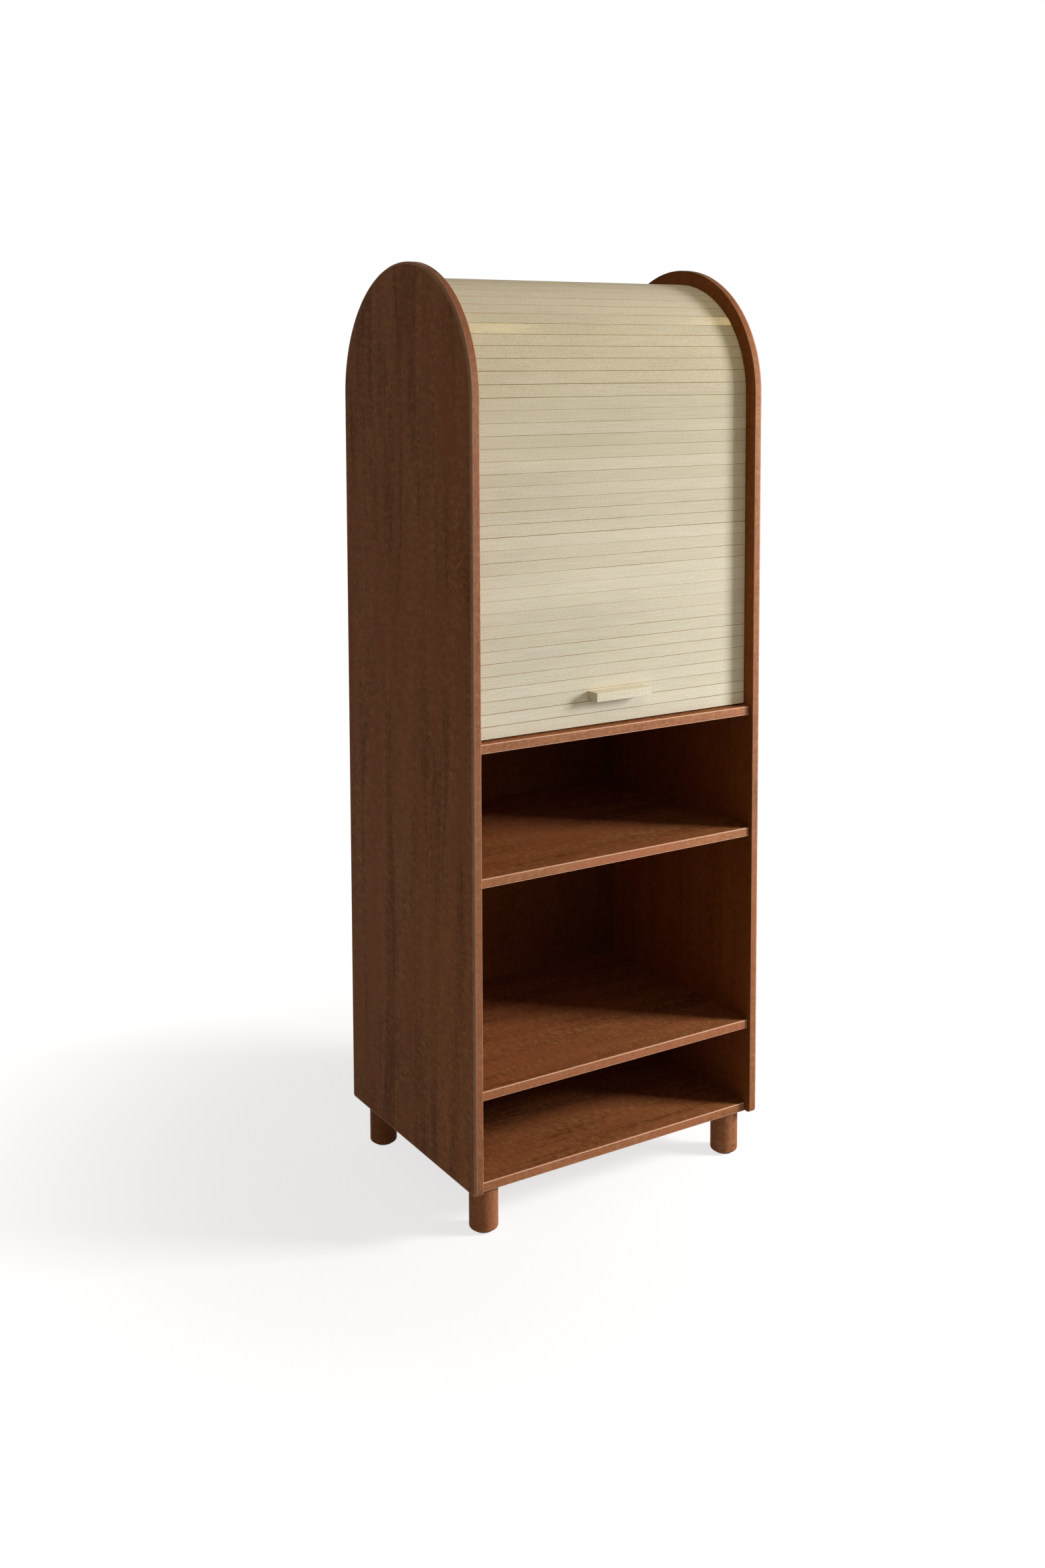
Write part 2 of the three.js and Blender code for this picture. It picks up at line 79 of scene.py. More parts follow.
Point = tuple[float, float, float]
Span = tuple[float, float]
BLACK: Colour = (0.0, 0.0, 0.0)
WHITE: Colour = (1.0, 1.0, 1.0)
ORIGIN: Point = (0.0, 0.0, 0.0)
# Vertices that are closer than this are one.
MERGE_DISTANCE = 1e-6
# A vertex that is closer than this to a plane lies on it.
NEAR = 1e-5
# An edge that spans more than this on an axis runs along it.
LONG = 1e-3
# A face looks a way when its normal has more than this share of that way.
FACING = 0.7
# The joints whose opening the photograph shows, numbered from the bottom, against the usual one.
OPEN_JOINTS = {
    1: 7.5, 2: 6.0, 3: 2.0, 4: 1.5, 5: 2.2, 7: 2.2, 8: 1.8, 9: 0.5, 10: 0.5, 11: 0.5,
    15: 0.5, 16: 7.0, 17: 2.4, 18: 1.8, 19: 1.0, 20: 0.6, 21: 2.0, 22: 0.8, 23: 1.0, 24: 2.6,
    25: 0.9, 26: 0.4, 29: 1.8, 31: 2.2, 32: 2.0,
}


class Side(Enum):
    """Left or right hand of the cabinet, as the sign of x."""

    LEFT = -1
    RIGHT = 1

    @property
    def word(self) -> str:
        """The word that node names use."""
        return self.name.lower()


class Grain(Enum):
    """The axis that the grain of a piece runs along, by its number."""

    ACROSS = 0
    UPRIGHT = 2


class Body(Enum):
    """The moving bodies of the cabinet."""

    CARCASS = "carcass"
    LEAD = "lead"
    TAIL = "tail"


class Slot(Enum):
    """The record's material slots."""

    STAINED_WOOD = "stained_wood"
    CREAM_SLAT = "cream_slat"
    CANVAS = "canvas"
    BEECH = "beech"
    ZINC_STEEL = "zinc_steel"
    FELT = "felt"


def mixed(a: Colour, b: Colour, share: float) -> Colour:
    """A colour part of the way from a to b."""
    return tuple(p + (q - p) * share for p, q in zip(a, b))


def picked(made: Iterable[object], kind: type) -> list:
    """The parts of one kind among those that an operator made."""
    return [part for part in made if isinstance(part, kind)]


@dataclass(frozen=True)
class Marks:
    """One kind of mark in a finish, and what it does there.

    Args:
        width: its width across the grain.
        drawn: how many times longer it is along the grain.
        detail: how many finer layers it has.
        roughness: how strong these are.
        distortion: how far it wanders.
        tone: how far it lightens the colour.
        red: how far it reddens the colour.
        sheen: how far it roughens the gloss.
        height: how far it raises the surface.
    """

    width: float
    drawn: float = 1.0
    detail: float = 3.0
    roughness: float = 0.6
    distortion: float = 0.0
    tone: float = 0.0
    red: float = 0.0
    sheen: float = 0.0
    height: float = 0.0

    def scale(self, grain: Grain) -> Point:
        """How many fit in a metre along each axis."""
        across = 1.0 / self.width
        return tuple(across / self.drawn if axis == grain.value else across for axis in range(3))


class Value:
    """A shader number that takes part in Python arithmetic."""

    def __init__(self, graph: "Graph", socket: bpy.types.NodeSocket) -> None:
        """Wraps an output socket of a graph."""
        self.graph = graph
        self.socket = socket

    def __add__(self, other: "Value | float") -> "Value":
        """Sum."""
        return self.graph.math("ADD", self, other)

    def __radd__(self, other: float) -> "Value":
        """Sum, with the number first."""
        return self.graph.math("ADD", other, self)

    def __sub__(self, other: "Value | float") -> "Value":
        """Difference."""
        return self.graph.math("SUBTRACT", self, other)

    def __rsub__(self, other: float) -> "Value":
        """Difference, with the number first."""
        return self.graph.math("SUBTRACT", other, self)

    def __mul__(self, other: "Value | float") -> "Value":
        """Product."""
        return self.graph.math("MULTIPLY", self, other)

    def __rmul__(self, other: float) -> "Value":
        """Product, with the number first."""
        return self.graph.math("MULTIPLY", other, self)

    @property
    def swing(self) -> "Value":
        """How far a noise is from its middle."""
        return self - 0.5

    def above(self, start: float, end: float) -> "Value":
        """Soft step from 0 at start to 1 at end.

        Args:
            start: the value that the step begins at.
            end: the value that it ends at.

        Returns:
            The step.
        """
        node = self.graph.node(
            "ShaderNodeMapRange",
            {"interpolation_type": "SMOOTHSTEP"},
            {"Value": self, "From Min": start, "From Max": end},
        )
        return Value(self.graph, node.outputs["Result"])


class Graph:
    """The node tree of one material or world."""

    # A Mix node's sockets for colours go by number, because their names repeat for each data type.
    mix_share, mix_a, mix_b, mix_result = 0, 6, 7, 2

    def __init__(self, tree: bpy.types.NodeTree) -> None:
        """Empties the tree."""
        self.tree = tree
        tree.nodes.clear()

    def node(
        self,
        kind: str,
        settings: dict[str, object] | None = None,
        sockets: dict[str | int, object] | None = None,
    ) -> bpy.types.Node:
        """Adds a node.

        Args:
            kind: the node's type name.
            settings: its properties; "stops" gives a ramp's places and colours.
            sockets: input values or links, by socket name or number.

        Returns:
            The new node.
        """
        node = self.tree.nodes.new(kind)
        for name, value in (settings or {}).items():
            if name == "stops":
                ramp = node.color_ramp
                while len(ramp.elements) < len(value):
                    ramp.elements.new(1.0)
                for element, (place, colour) in zip(ramp.elements, value):
                    element.position = place
                    element.color = (*colour, 1.0)
            else:
                setattr(node, name, value)
        for key, value in (sockets or {}).items():
            if isinstance(value, Value):
                self.tree.links.new(value.socket, node.inputs[key])
            elif isinstance(value, bpy.types.NodeSocket):
                self.tree.links.new(value, node.inputs[key])
            elif isinstance(value, tuple) and len(node.inputs[key].default_value) == 4:
                node.inputs[key].default_value = (*value, 1.0)
            else:
                node.inputs[key].default_value = value
        return node

    def math(self, operation: str, *terms: Value | float) -> Value:
        """Adds a Math node on its terms."""
        node = self.node("ShaderNodeMath", {"operation": operation}, dict(enumerate(terms)))
        return Value(self, node.outputs[0])

    def mix(
        self, share: Value | float, a: object, b: object, blend: str = "MIX"
    ) -> bpy.types.NodeSocket:
        """Adds a Mix node on two colours.

        Args:
            share: how much of b there is.
            a: the first colour or its socket.
            b: the second colour or its socket.
            blend: how b acts on a.

        Returns:
            The socket of the mixed colour.
        """
        node = self.node(
            "ShaderNodeMix",
            {"data_type": "RGBA", "blend_type": blend},
            {self.mix_share: share, self.mix_a: a, self.mix_b: b},
        )
        return node.outputs[self.mix_result]

    def grey(self, level: Value) -> bpy.types.NodeSocket:
        """A grey of a varying level."""
        node = self.node("ShaderNodeCombineColor", None, {"Red": level, "Green": level, "Blue": level})
        return node.outputs["Color"]

    def object_place(self) -> bpy.types.NodeSocket:
        """The place on the piece, in metres."""
        return self.node("ShaderNodeTexCoord").outputs["Object"]

    def stretched(
        self, place: bpy.types.NodeSocket, scale: Point, shift: Point
    ) -> bpy.types.NodeSocket:
        """A place scaled and shifted by a Mapping node."""
        sockets = {"Vector": place, "Location": shift, "Scale": scale}
        return self.node("ShaderNodeMapping", None, sockets).outputs["Vector"]

    def marks(
        self,
        place: bpy.types.NodeSocket,
        kind: Marks,
        grain: Grain = Grain.ACROSS,
        shift: Point = ORIGIN,
    ) -> Value:
        """Draws marks as a noise from 0 to 1, mostly near 0.5.

        Args:
            place: where on the piece.
            kind: the marks' size and make.
            grain: the axis that they are drawn out along.
            shift: moves them, so that no two pieces match.

        Returns:
            The noise.
        """
        node = self.node(
            "ShaderNodeTexNoise",
            None,
            {
                "Vector": self.stretched(place, kind.scale(grain), shift),
                "Scale": 1.0,
                "Detail": kind.detail,
                "Roughness": kind.roughness,
                "Distortion": kind.distortion,
            },
        )
        return Value(self, node.outputs["Fac"])

    def attribute(self, name: str) -> Value:
        """A number kept on the piece's vertices."""
        node = self.node("ShaderNodeAttribute", {"attribute_name": name})
        return Value(self, node.outputs["Fac"])

    def bump(self, height: Value, depth: float, strength: float) -> bpy.types.NodeSocket:
        """A normal that height raises by up to depth metres."""
        sockets = {"Height": height, "Distance": depth, "Strength": strength}
        return self.node("ShaderNodeBump", None, sockets).outputs["Normal"]

    def surface(self, **sockets: object) -> None:
        """Adds the Principled shader and the output.

        Args:
            sockets: the shader's inputs; an underscore in a name stands for a space.
        """
        named = {name.replace("_", " "): value for name, value in sockets.items()}
        shader = self.node("ShaderNodeBsdfPrincipled", None, named)
        self.node("ShaderNodeOutputMaterial", None, {"Surface": shader.outputs["BSDF"]})


def new_material(name: str) -> tuple[bpy.types.Material, Graph]:
    """Starts a material.

    Args:
        name: its name.

    Returns:
        The material and its empty graph.
    """
    material = bpy.data.materials.new(name)
    material.use_nodes = True
    return material, Graph(material.node_tree)


class Stain(Enum):
    """The brown stain's colour on each kind of face, as shares of its colour on the outside.

    These are lit and shaded copies of one wood. The outer face in the key light gets a darker copy as
    painted shade. The faces inside the bays and the shelf tops are darker and redder as painted shade.
    The shelf fronts are lighter for wear and for a painted sheen.
    """

    OUTSIDE = (1.48, 1.55, 1.38)
    # Painted shade: a darker copy for the right panel's outer face, which the key light falls on.
    SUNLIT = (1.1, 0.98, 0.78)
    EDGE = (1.42, 1.5, 1.45)
    # The shelf fronts: lighter for wear and for a painted sheen.
    WORN_EDGE = (1.68, 1.78, 1.72)
    # Painted shade: darker and redder on the faces inside the carcass.
    INSIDE = (1.06, 0.92, 0.5)
    # Painted shade: darker and redder on the shelf tops in the bays.
    SHELF = (1.22, 1.14, 0.86)


@dataclass(frozen=True)
class StainedWood:
    """Close grained wood under a brown stain and satin lacquer.

    Args:
        name: the material's name.
        grain: the axis that the grain runs along.
        stain: the stain of its face, which on some faces carries painted shade or sheen.
        seed: shifts the figure, so that no two boards match.
        tone: brightness of this board against the rest.
        contrast: how strongly its figure shows.
    """

    name: str
    grain: Grain
    stain: Stain
    seed: float
    tone: float = 1.0
    contrast: float = 1.0
    deep: Colour = (0.15, 0.047, 0.018)
    middle: Colour = (0.272, 0.1065, 0.0485)
    pale: Colour = (0.385, 0.18, 0.085)
    red: Colour = (0.27, 0.088, 0.042)
    # The lighter colour along the eased arrises: worn finish, and a painted highlight.
    worn: Colour = (0.575, 0.335, 0.25)
    seed_strides: Point = (3.7, 5.3, 2.9)
    streaks: Marks = Marks(0.036, 12.0, detail=5.0, distortion=0.7, tone=1.7, red=0.9)
    rings: Marks = Marks(0.0756, 14.0, distortion=6.5, tone=0.2)
    ring_pace: float = 0.6
    ring_detail_scale: float = 0.8
    mottle: Marks = Marks(0.02, 0.45, tone=1.1, red=-0.25)
    fibres: Marks = Marks(0.0026, 22.0, roughness=0.65, tone=0.9, sheen=0.14, height=0.6)
    clouds: Marks = Marks(0.25, roughness=0.5, tone=0.7, red=0.5, sheen=0.1)
    speckle: Marks = Marks(0.003, 2.5, detail=2.0, tone=1.5)
    pores: Marks = Marks(0.0008, 13.0, detail=1.0, roughness=0.5, height=-1.2)
    red_span: Span = (0.44, 0.74)
    red_share: float = 0.8
    pore_span: Span = (0.55, 0.76)
    pore_share: float = 0.5
    pore_darkness: float = 0.5
    rubbed: float = 0.6
    rubbed_by_mottle: float = 0.3
    roughness: float = 0.5
    specular: float = 0.025
    relief_depth: float = 0.00012
    relief_strength: float = 0.5

    def _dyed(self, colour: Colour) -> Colour:
        """A colour under this board's stain and brightness."""
        return tuple(channel * share * self.tone for channel, share in zip(colour, self.stain.value))

    def _ring_lines(self, graph: Graph, place: bpy.types.NodeSocket, shift: Point) -> Value:
        """Draws the growth rings as wandering bands.

        Args:
            graph: the material's graph.
            place: where on the board.
            shift: how far the board's figure is moved.

        Returns:
            The bands, from 0 to 1.
        """
        node = graph.node(
            "ShaderNodeTexWave",
            {"wave_type": "BANDS", "bands_direction": "DIAGONAL", "wave_profile": "SIN"},
            {
                "Vector": graph.stretched(place, self.rings.scale(self.grain), shift),
                "Scale": self.ring_pace,
                "Distortion": self.rings.distortion,
                "Detail": self.rings.detail,
                "Detail Scale": self.ring_detail_scale,
                "Detail Roughness": self.rings.roughness,
            },
        )
        return Value(graph, node.outputs["Fac"])

    def material(self) -> bpy.types.Material:
        """Builds the material.

        Returns:
            The board's own stained wood.
        """
        material, graph = new_material(self.name)
        place = graph.object_place()
        shift = tuple(self.seed * stride for stride in self.seed_strides)
        streaks, mottle, fibres, clouds, speckle, pores = (
            graph.marks(place, kind, self.grain, shift)
            for kind in (
                self.streaks, self.mottle, self.fibres, self.clouds, self.speckle, self.pores
            )
        )
        rings = self._ring_lines(graph, place, shift)

        figure = streaks.swing * self.streaks.tone + rings.swing * self.rings.tone
        figure = figure + mottle.swing * self.mottle.tone + fibres.swing * self.fibres.tone
        figure = figure + clouds.swing * self.clouds.tone + speckle.swing * self.speckle.tone
        colours = (self._dyed(colour) for colour in (self.deep, self.middle, self.pale))
        ramp = graph.node(
            "ShaderNodeValToRGB",
            {"stops": list(zip((0.0, 0.5, 1.0), colours))},
            {"Fac": 0.5 + figure * self.contrast},
        )
        redness = clouds * self.clouds.red + streaks * self.streaks.red + mottle * self.mottle.red
        warmth = redness.above(*self.red_span) * self.red_share
        hued = graph.mix(warmth, ramp.outputs["Color"], self._dyed(self.red))
        pore = pores.above(*self.pore_span) * self.pore_share
        ticked = graph.mix(pore, hued, self._dyed(mixed(self.deep, BLACK, self.pore_darkness)))
        # Worn arrises, partly a painted highlight along the eased edges.
        rubbed = graph.attribute("arris") * (self.rubbed + self.rubbed_by_mottle * mottle)

        sheen = fibres.swing * self.fibres.sheen + clouds.swing * self.clouds.sheen
        relief = fibres * self.fibres.height + pore * self.pores.height
        graph.surface(
            Base_Color=graph.mix(rubbed, ticked, self._dyed(self.worn)),
            Roughness=self.roughness + sheen,
            Specular_IOR_Level=self.specular,
            Normal=graph.bump(relief, self.relief_depth, self.relief_strength),
        )
        return material


@dataclass(frozen=True)
class CreamLacquer:
    """Cream satin lacquer sprayed on narrow slats, thin enough for the wood to read through."""

    name: str
    # From pale to painted shade by each piece's "tone": paler low on the front as a painted sheen,
    # darker on the arch's shoulder as painted shade, with some random tone.
    pale: Colour = (0.672, 0.638, 0.53)
    aged: Colour = (0.496, 0.453, 0.334)
    thin: Colour = (0.34, 0.178, 0.012)
    fibres: Marks = Marks(1 / 620, 620 / 16, tone=0.3, sheen=0.06, height=0.65)
    clouds: Marks = Marks(1 / 14, 14 / 3, roughness=0.55, tone=0.26, sheen=0.1)
    peel: Marks = Marks(1 / 380, roughness=0.7, tone=0.65, height=0.35)
    patches: Marks = Marks(1 / 46, 46 / 7, roughness=0.5)
    patch_span: Span = (0.3, 0.6)
    chips: Marks = Marks(1 / 130, 130 / 70)
    chip_span: Span = (0.36, 0.56)
    chipped: float = 0.4
    patchy: float = 0.75
    roughness: float = 0.19
    metallic: float = 0.03
    specular: float = 0.0
    relief_depth: float = 0.00003
    relief_strength: float = 0.4

    def material(self) -> bpy.types.Material:
        """Builds the material.

        Returns:
            The lacquer, paler where a piece's "tone" is high and darker where it is low, which paints
            shade on the arch's shoulder and sheen low on the front, and thin on its arrises.
        """
        material, graph = new_material(self.name)
        place = graph.object_place()
        fibres, clouds, peel, patches, chips = (
            graph.marks(place, kind)
            for kind in (self.fibres, self.clouds, self.peel, self.patches, self.chips)
        )

        aged = graph.mix(graph.attribute("tone"), self.aged, self.pale)
        lift = 1.0 + clouds.swing * self.clouds.tone + fibres.swing * self.fibres.tone
        lift = lift + peel.swing * self.peel.tone
        sprayed = graph.mix(1.0, aged, graph.grey(lift), "MULTIPLY")
        chip = 1.0 - self.chipped + self.chipped * chips.above(*self.chip_span)
        worn = 1.0 - self.patchy + self.patchy * (patches.above(*self.patch_span) * chip)

        sheen = clouds.swing * self.clouds.sheen + fibres.swing * self.fibres.sheen
        relief = peel * self.peel.height + fibres * self.fibres.height
        graph.surface(
            Base_Color=graph.mix(graph.attribute("arris") * worn, sprayed, self.thin),
            Metallic=self.metallic,
            Roughness=self.roughness + sheen,
            Specular_IOR_Level=self.specular,
            Normal=graph.bump(relief, self.relief_depth, self.relief_strength),
        )
        return material


@dataclass(frozen=True)
class BareWood:
    """Unfinished wood, as on the sawn sides of the slats and on dowels."""

    name: str
    grain: Grain
    dark: Colour = (0.42, 0.29, 0.12)
    light: Colour = (0.62, 0.46, 0.22)
    fibres: Marks = Marks(1 / 700, 700 / 30, sheen=0.15)
    light_span: Span = (0.3, 0.7)
    rays: Marks = Marks(1 / 1540, 700 / 30, detail=1.0, roughness=0.5)
    ray_span: Span = (0.62, 0.72)
    ray_share: float = 0.5
    ray_darkness: float = 0.35
    roughness: float = 0.78
    specular: float = 0.3
    relief_depth: float = 0.0001
    relief_strength: float = 0.7

    def material(self) -> bpy.types.Material:
        """Builds the material.

        Returns:
            The bare wood.
        """
        material, graph = new_material(self.name)
        place = graph.object_place()
        fibres, rays = (graph.marks(place, kind, self.grain) for kind in (self.fibres, self.rays))
        colour = graph.mix(fibres.above(*self.light_span), self.dark, self.light)
        ray = rays.above(*self.ray_span) * self.ray_share
        graph.surface(
            Base_Color=graph.mix(ray, colour, mixed(self.dark, BLACK, self.ray_darkness)),
            Roughness=self.roughness + fibres.swing * self.fibres.sheen,
            Specular_IOR_Level=self.specular,
            Normal=graph.bump(fibres, self.relief_depth, self.relief_strength),
        )
        return material


@dataclass(frozen=True)
class Canvas:
    """Plain woven cotton, one thread over and one under."""

    name: str
    warp: Colour = (0.6, 0.52, 0.37)
    weft: Colour = (0.52, 0.445, 0.31)
    thread: float = 0.0011
    crossing_span: Span = (-0.25, 0.25)
    slubs: Marks = Marks(1 / 95, detail=4.0, roughness=0.65, sheen=0.1, height=0.4)
    slub_span: Span = (0.35, 0.75)
    slub_share: float = 0.4
    slub_darkness: float = 0.3
    roughness: float = 0.92
    specular: float = 0.2
    fuzz: float = 0.15
    relief_depth: float = 0.0002
    relief_strength: float = 0.8

    def material(self) -> bpy.types.Material:
        """Builds the material.

        Returns:
            The canvas, whose weave follows the piece's "cloth" map.
        """
        material, graph = new_material(self.name)
        cloth = graph.node("ShaderNodeUVMap", {"uv_map": "cloth"}).outputs["UV"]
        parts = graph.node("ShaderNodeSeparateXYZ", None, {"Vector": cloth})
        turn = math.pi / self.thread
        warp, weft = (
            graph.math("SINE", Value(graph, parts.outputs[axis]) * turn) for axis in ("X", "Y")
        )
        weave = graph.math("ABSOLUTE", warp * weft)
        over = (warp * weft).above(*self.crossing_span)
        slubs = graph.marks(cloth, self.slubs)
        slub = slubs.above(*self.slub_span) * self.slub_share
        colour = graph.mix(over, self.weft, self.warp)
        relief = weave + slubs * self.slubs.height
        graph.surface(
            Base_Color=graph.mix(slub, colour, mixed(self.weft, BLACK, self.slub_darkness)),
            Roughness=self.roughness + slubs.swing * self.slubs.sheen,
            Specular_IOR_Level=self.specular,
            Sheen_Weight=self.fuzz,
            Normal=graph.bump(relief, self.relief_depth, self.relief_strength),
        )
        return material


@dataclass(frozen=True)
class ZincSteel:
    """Zinc plated steel, as on bolts and screws."""

    name: str
    bright: Colour = (0.58, 0.59, 0.6)
    dull: Colour = (0.3, 0.31, 0.34)
    dullness: float = 0.6
    spangle: Marks = Marks(1 / 480, sheen=0.25)
    spangle_span: Span = (0.35, 0.65)
    spangle_share: float = 0.35
    brushing: Marks = Marks(1 / 2600, 2600 / 240, detail=2.0, roughness=0.5)
    metallic: float = 1.0
    roughness: float = 0.3
    relief_depth: float = 0.00003
    relief_strength: float = 0.5

    def material(self) -> bpy.types.Material:
        """Builds the material.

        Returns:
            The plated steel.
        """
        material, graph = new_material(self.name)
        place = graph.object_place()
        spangle = graph.marks(place, self.spangle)
        brushing = graph.marks(place, self.brushing, Grain.UPRIGHT)
        dulled = spangle.above(*self.spangle_span) * self.spangle_share
        graph.surface(
            Base_Color=graph.mix(dulled, self.bright, mixed(self.bright, self.dull, self.dullness)),
            Metallic=self.metallic,
            Roughness=self.roughness + spangle.swing * self.spangle.sheen,
            Normal=graph.bump(brushing, self.relief_depth, self.relief_strength),
        )
        return material


@dataclass(frozen=True)
class Felt:
    """Pressed felt with stray fibres."""

    name: str
    ground: Colour = (0.068, 0.058, 0.05)
    fibre: Colour = (0.15, 0.13, 0.11)
    fuzz: Marks = Marks(1 / 1300, detail=4.0, roughness=0.7, distortion=1.2)
    fuzz_span: Span = (0.5, 0.68)
    lumps: Marks = Marks(1 / 260, detail=2.0, roughness=0.5, sheen=0.06, height=0.5)
    roughness: float = 0.96
    specular: float = 0.15
    bloom: float = 0.3
    relief_depth: float = 0.00025
    relief_strength: float = 0.8

    def material(self) -> bpy.types.Material:
        """Builds the material.

        Returns:
            The felt.
        """
        material, graph = new_material(self.name)
        place = graph.object_place()
        fuzz, lumps = (graph.marks(place, kind) for kind in (self.fuzz, self.lumps))
        relief = fuzz + lumps * self.lumps.height
        graph.surface(
            Base_Color=graph.mix(fuzz.above(*self.fuzz_span), self.ground, self.fibre),
            Roughness=self.roughness + lumps.swing * self.lumps.sheen,
            Specular_IOR_Level=self.specular,
            Sheen_Weight=self.bloom,
            Normal=graph.bump(relief, self.relief_depth, self.relief_strength),
        )
        return material


class Finishes:
    """Every finish of the cabinet, made once and shared."""

    contrasts: dict[Stain, float] = {
        Stain.OUTSIDE: 1.2, Stain.SUNLIT: 0.6, Stain.EDGE: 0.7,
        Stain.WORN_EDGE: 0.5, Stain.INSIDE: 0.55, Stain.SHELF: 1.0,
    }
    first_seed: float = 1.0
    seed_step: float = 0.618

    def __init__(self) -> None:
        """Makes the finishes that pieces share; boards get their own as they come."""
        self.boards_made = 0
        self.lacquer = CreamLacquer("cream_lacquer").material()
        self.handle_lacquer = CreamLacquer(
            "cream_handle_lacquer", pale=(0.69, 0.655, 0.53), thin=(0.5, 0.33, 0.12)
        ).material()
        self.sawn_slat = BareWood("sawn_slat_edge", Grain.ACROSS).material()
        self.beech = BareWood(
            "bare_beech", Grain.ACROSS, dark=(0.5, 0.315, 0.17), light=(0.66, 0.455, 0.27)
        ).material()
        self.canvas = Canvas("woven_canvas").material()
        self.zinc = ZincSteel("zinc_plated_steel").material()
        self.felt = Felt("pressed_felt").material()

    def board(self, name: str, grain: Grain, stain: Stain, tone: float = 1.0) -> bpy.types.Material:
        """Makes the stained wood of one board, with its own figure.

        Args:
            name: the board's name.
            grain: the axis that its grain runs along.
            stain: the stain of its face, which on some faces carries painted shade or sheen.
            tone: its brightness against the rest.

        Returns:
            The material.
        """
        seed = self.first_seed + self.boards_made * self.seed_step
        self.boards_made += 1
        full_name = f"wood_{name}_{stain.name.lower()}"
        return StainedWood(full_name, grain, stain, seed, tone, self.contrasts[stain]).material()


class Workpiece:
    """One mesh in the making, with the cuts that a joiner gives it.

    The vertex number "arris" is 1 along the middle of each eased edge, where a finish rubs thin and,
    on stained wood, a highlight is painted; "tone" differs from slat to slat and carries the
    curtain's painted shade and sheen.
    """

    sharp_turn: float = math.radians(40.0)

    def __init__(self) -> None:
        """Starts with an empty mesh."""
        self.bm = bmesh.new()
        self.arris = self.bm.verts.layers.float.new("arris")
        self.tone = self.bm.verts.layers.float.new("tone")

    def block(self, low: Vector, high: Vector) -> None:
        """Adds a block between two corners.

        Args:
            low: its lowest corner.
            high: its highest corner.
        """
        made = bmesh.ops.create_cube(self.bm, size=1.0)["verts"]
        bmesh.ops.scale(self.bm, vec=high - low, verts=made)
        bmesh.ops.translate(self.bm, vec=(low + high) / 2, verts=made)

    def edges(self, test: Callable[[Vector, Vector], bool]) -> list[bmesh.types.BMEdge]:
        """The edges whose two ends pass a test."""
        return [edge for edge in self.bm.edges if test(*(vert.co for vert in edge.verts))]

    def ease(
        self, edges: list[bmesh.types.BMEdge], width: float, segments: int, rub: float = 1.0
    ) -> None:
        """Rounds edges over and marks their arrises.

        Args:
            edges: the edges to round.
            width: how far the rounding reaches over each face.
            segments: facets of the rounding.
            rub: how thin the finish has worn there, from 0 to 1; on stained wood it also lays a painted
                highlight along the arris.
        """
        made = bmesh.ops.bevel(
            self.bm, geom=edges, offset=width, offset_type="OFFSET", segments=segments, profile=0.5,
            affect="EDGES", clamp_overlap=False, material=-1, loop_slide=True,
        )
        rounded = set(made["faces"])
        for vert in {v for face in rounded for v in face.verts}:
            if all(face in rounded for face in vert.link_faces):
                vert[self.arris] = max(vert[self.arris], rub)

    def turn(self, profile: list[Span], centre: Vector, segments: int) -> None:
        """Adds a turned form.

        Args:
            profile: its radii and heights.
            centre: where its upright axis meets height 0.
            segments: facets round the axis.
        """
        chain = [
            self.bm.verts.new((centre.x + radius, centre.y, centre.z + height))
            for radius, height in profile
        ]
        lines = [self.bm.edges.new(pair) for pair in zip(chain, chain[1:])]
        bmesh.ops.spin(
            self.bm, geom=chain + lines, cent=centre, axis=(0.0, 0.0, 1.0), dvec=ORIGIN,
            angle=math.tau, steps=segments, use_merge=True,
        )
        self.close()

    def join(self, other: "Workpiece", place: Matrix) -> None:
        """Takes in another workpiece.

        Args:
            other: the workpiece, which is used up.
            place: where it is set down.
        """
        mesh = bpy.data.meshes.new("joined")
        other.bm.to_mesh(mesh)
        other.bm.free()
        mesh.transform(place)
        self.bm.from_mesh(mesh)
        bpy.data.meshes.remove(mesh)

    def close(self) -> None:
        """Merges doubles and turns every face outwards."""
        bmesh.ops.remove_doubles(self.bm, verts=self.bm.verts[:], dist=MERGE_DISTANCE)
        bmesh.ops.dissolve_degenerate(self.bm, edges=self.bm.edges[:], dist=MERGE_DISTANCE)
        bmesh.ops.recalc_face_normals(self.bm, faces=self.bm.faces[:])

    def finish(self, name: str, *materials: bpy.types.Material) -> bpy.types.Object:
        """Makes the object.

        Args:
            name: the piece's name.
            materials: its materials, in the order of the faces' numbers.

        Returns:
            The new object, at the origin.
        """
        for face in self.bm.faces:
            face.smooth = True
        for edge in self.bm.edges:
            edge.smooth = edge.calc_face_angle(math.pi) < self.sharp_turn
        mesh = bpy.data.meshes.new(name)
        self.bm.to_mesh(mesh)
        self.bm.free()
        for material in materials:
            mesh.materials.append(material)
        made = bpy.data.objects.new(name, mesh)
        bpy.context.scene.collection.objects.link(made)
        made.modifiers.new("weighted_normals", "WEIGHTED_NORMAL").keep_sharp = True
        return made


def dress(piece: bpy.types.Object, body: Body, node: str) -> bpy.types.Object:
    """Hangs a piece on its body and hides the CAD node that it stands for.

    Args:
        piece: the finished piece.
        body: the body that it rides on.
        node: the CAD node.

    Returns:
        The piece.
    """
    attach(piece, body.value)
    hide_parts(node)
    count = len(piece.data.vertices)
    LOG.info("%s: %d vertices, rides on %s, stands for %s", piece.name, count, body.value, node)
    return piece


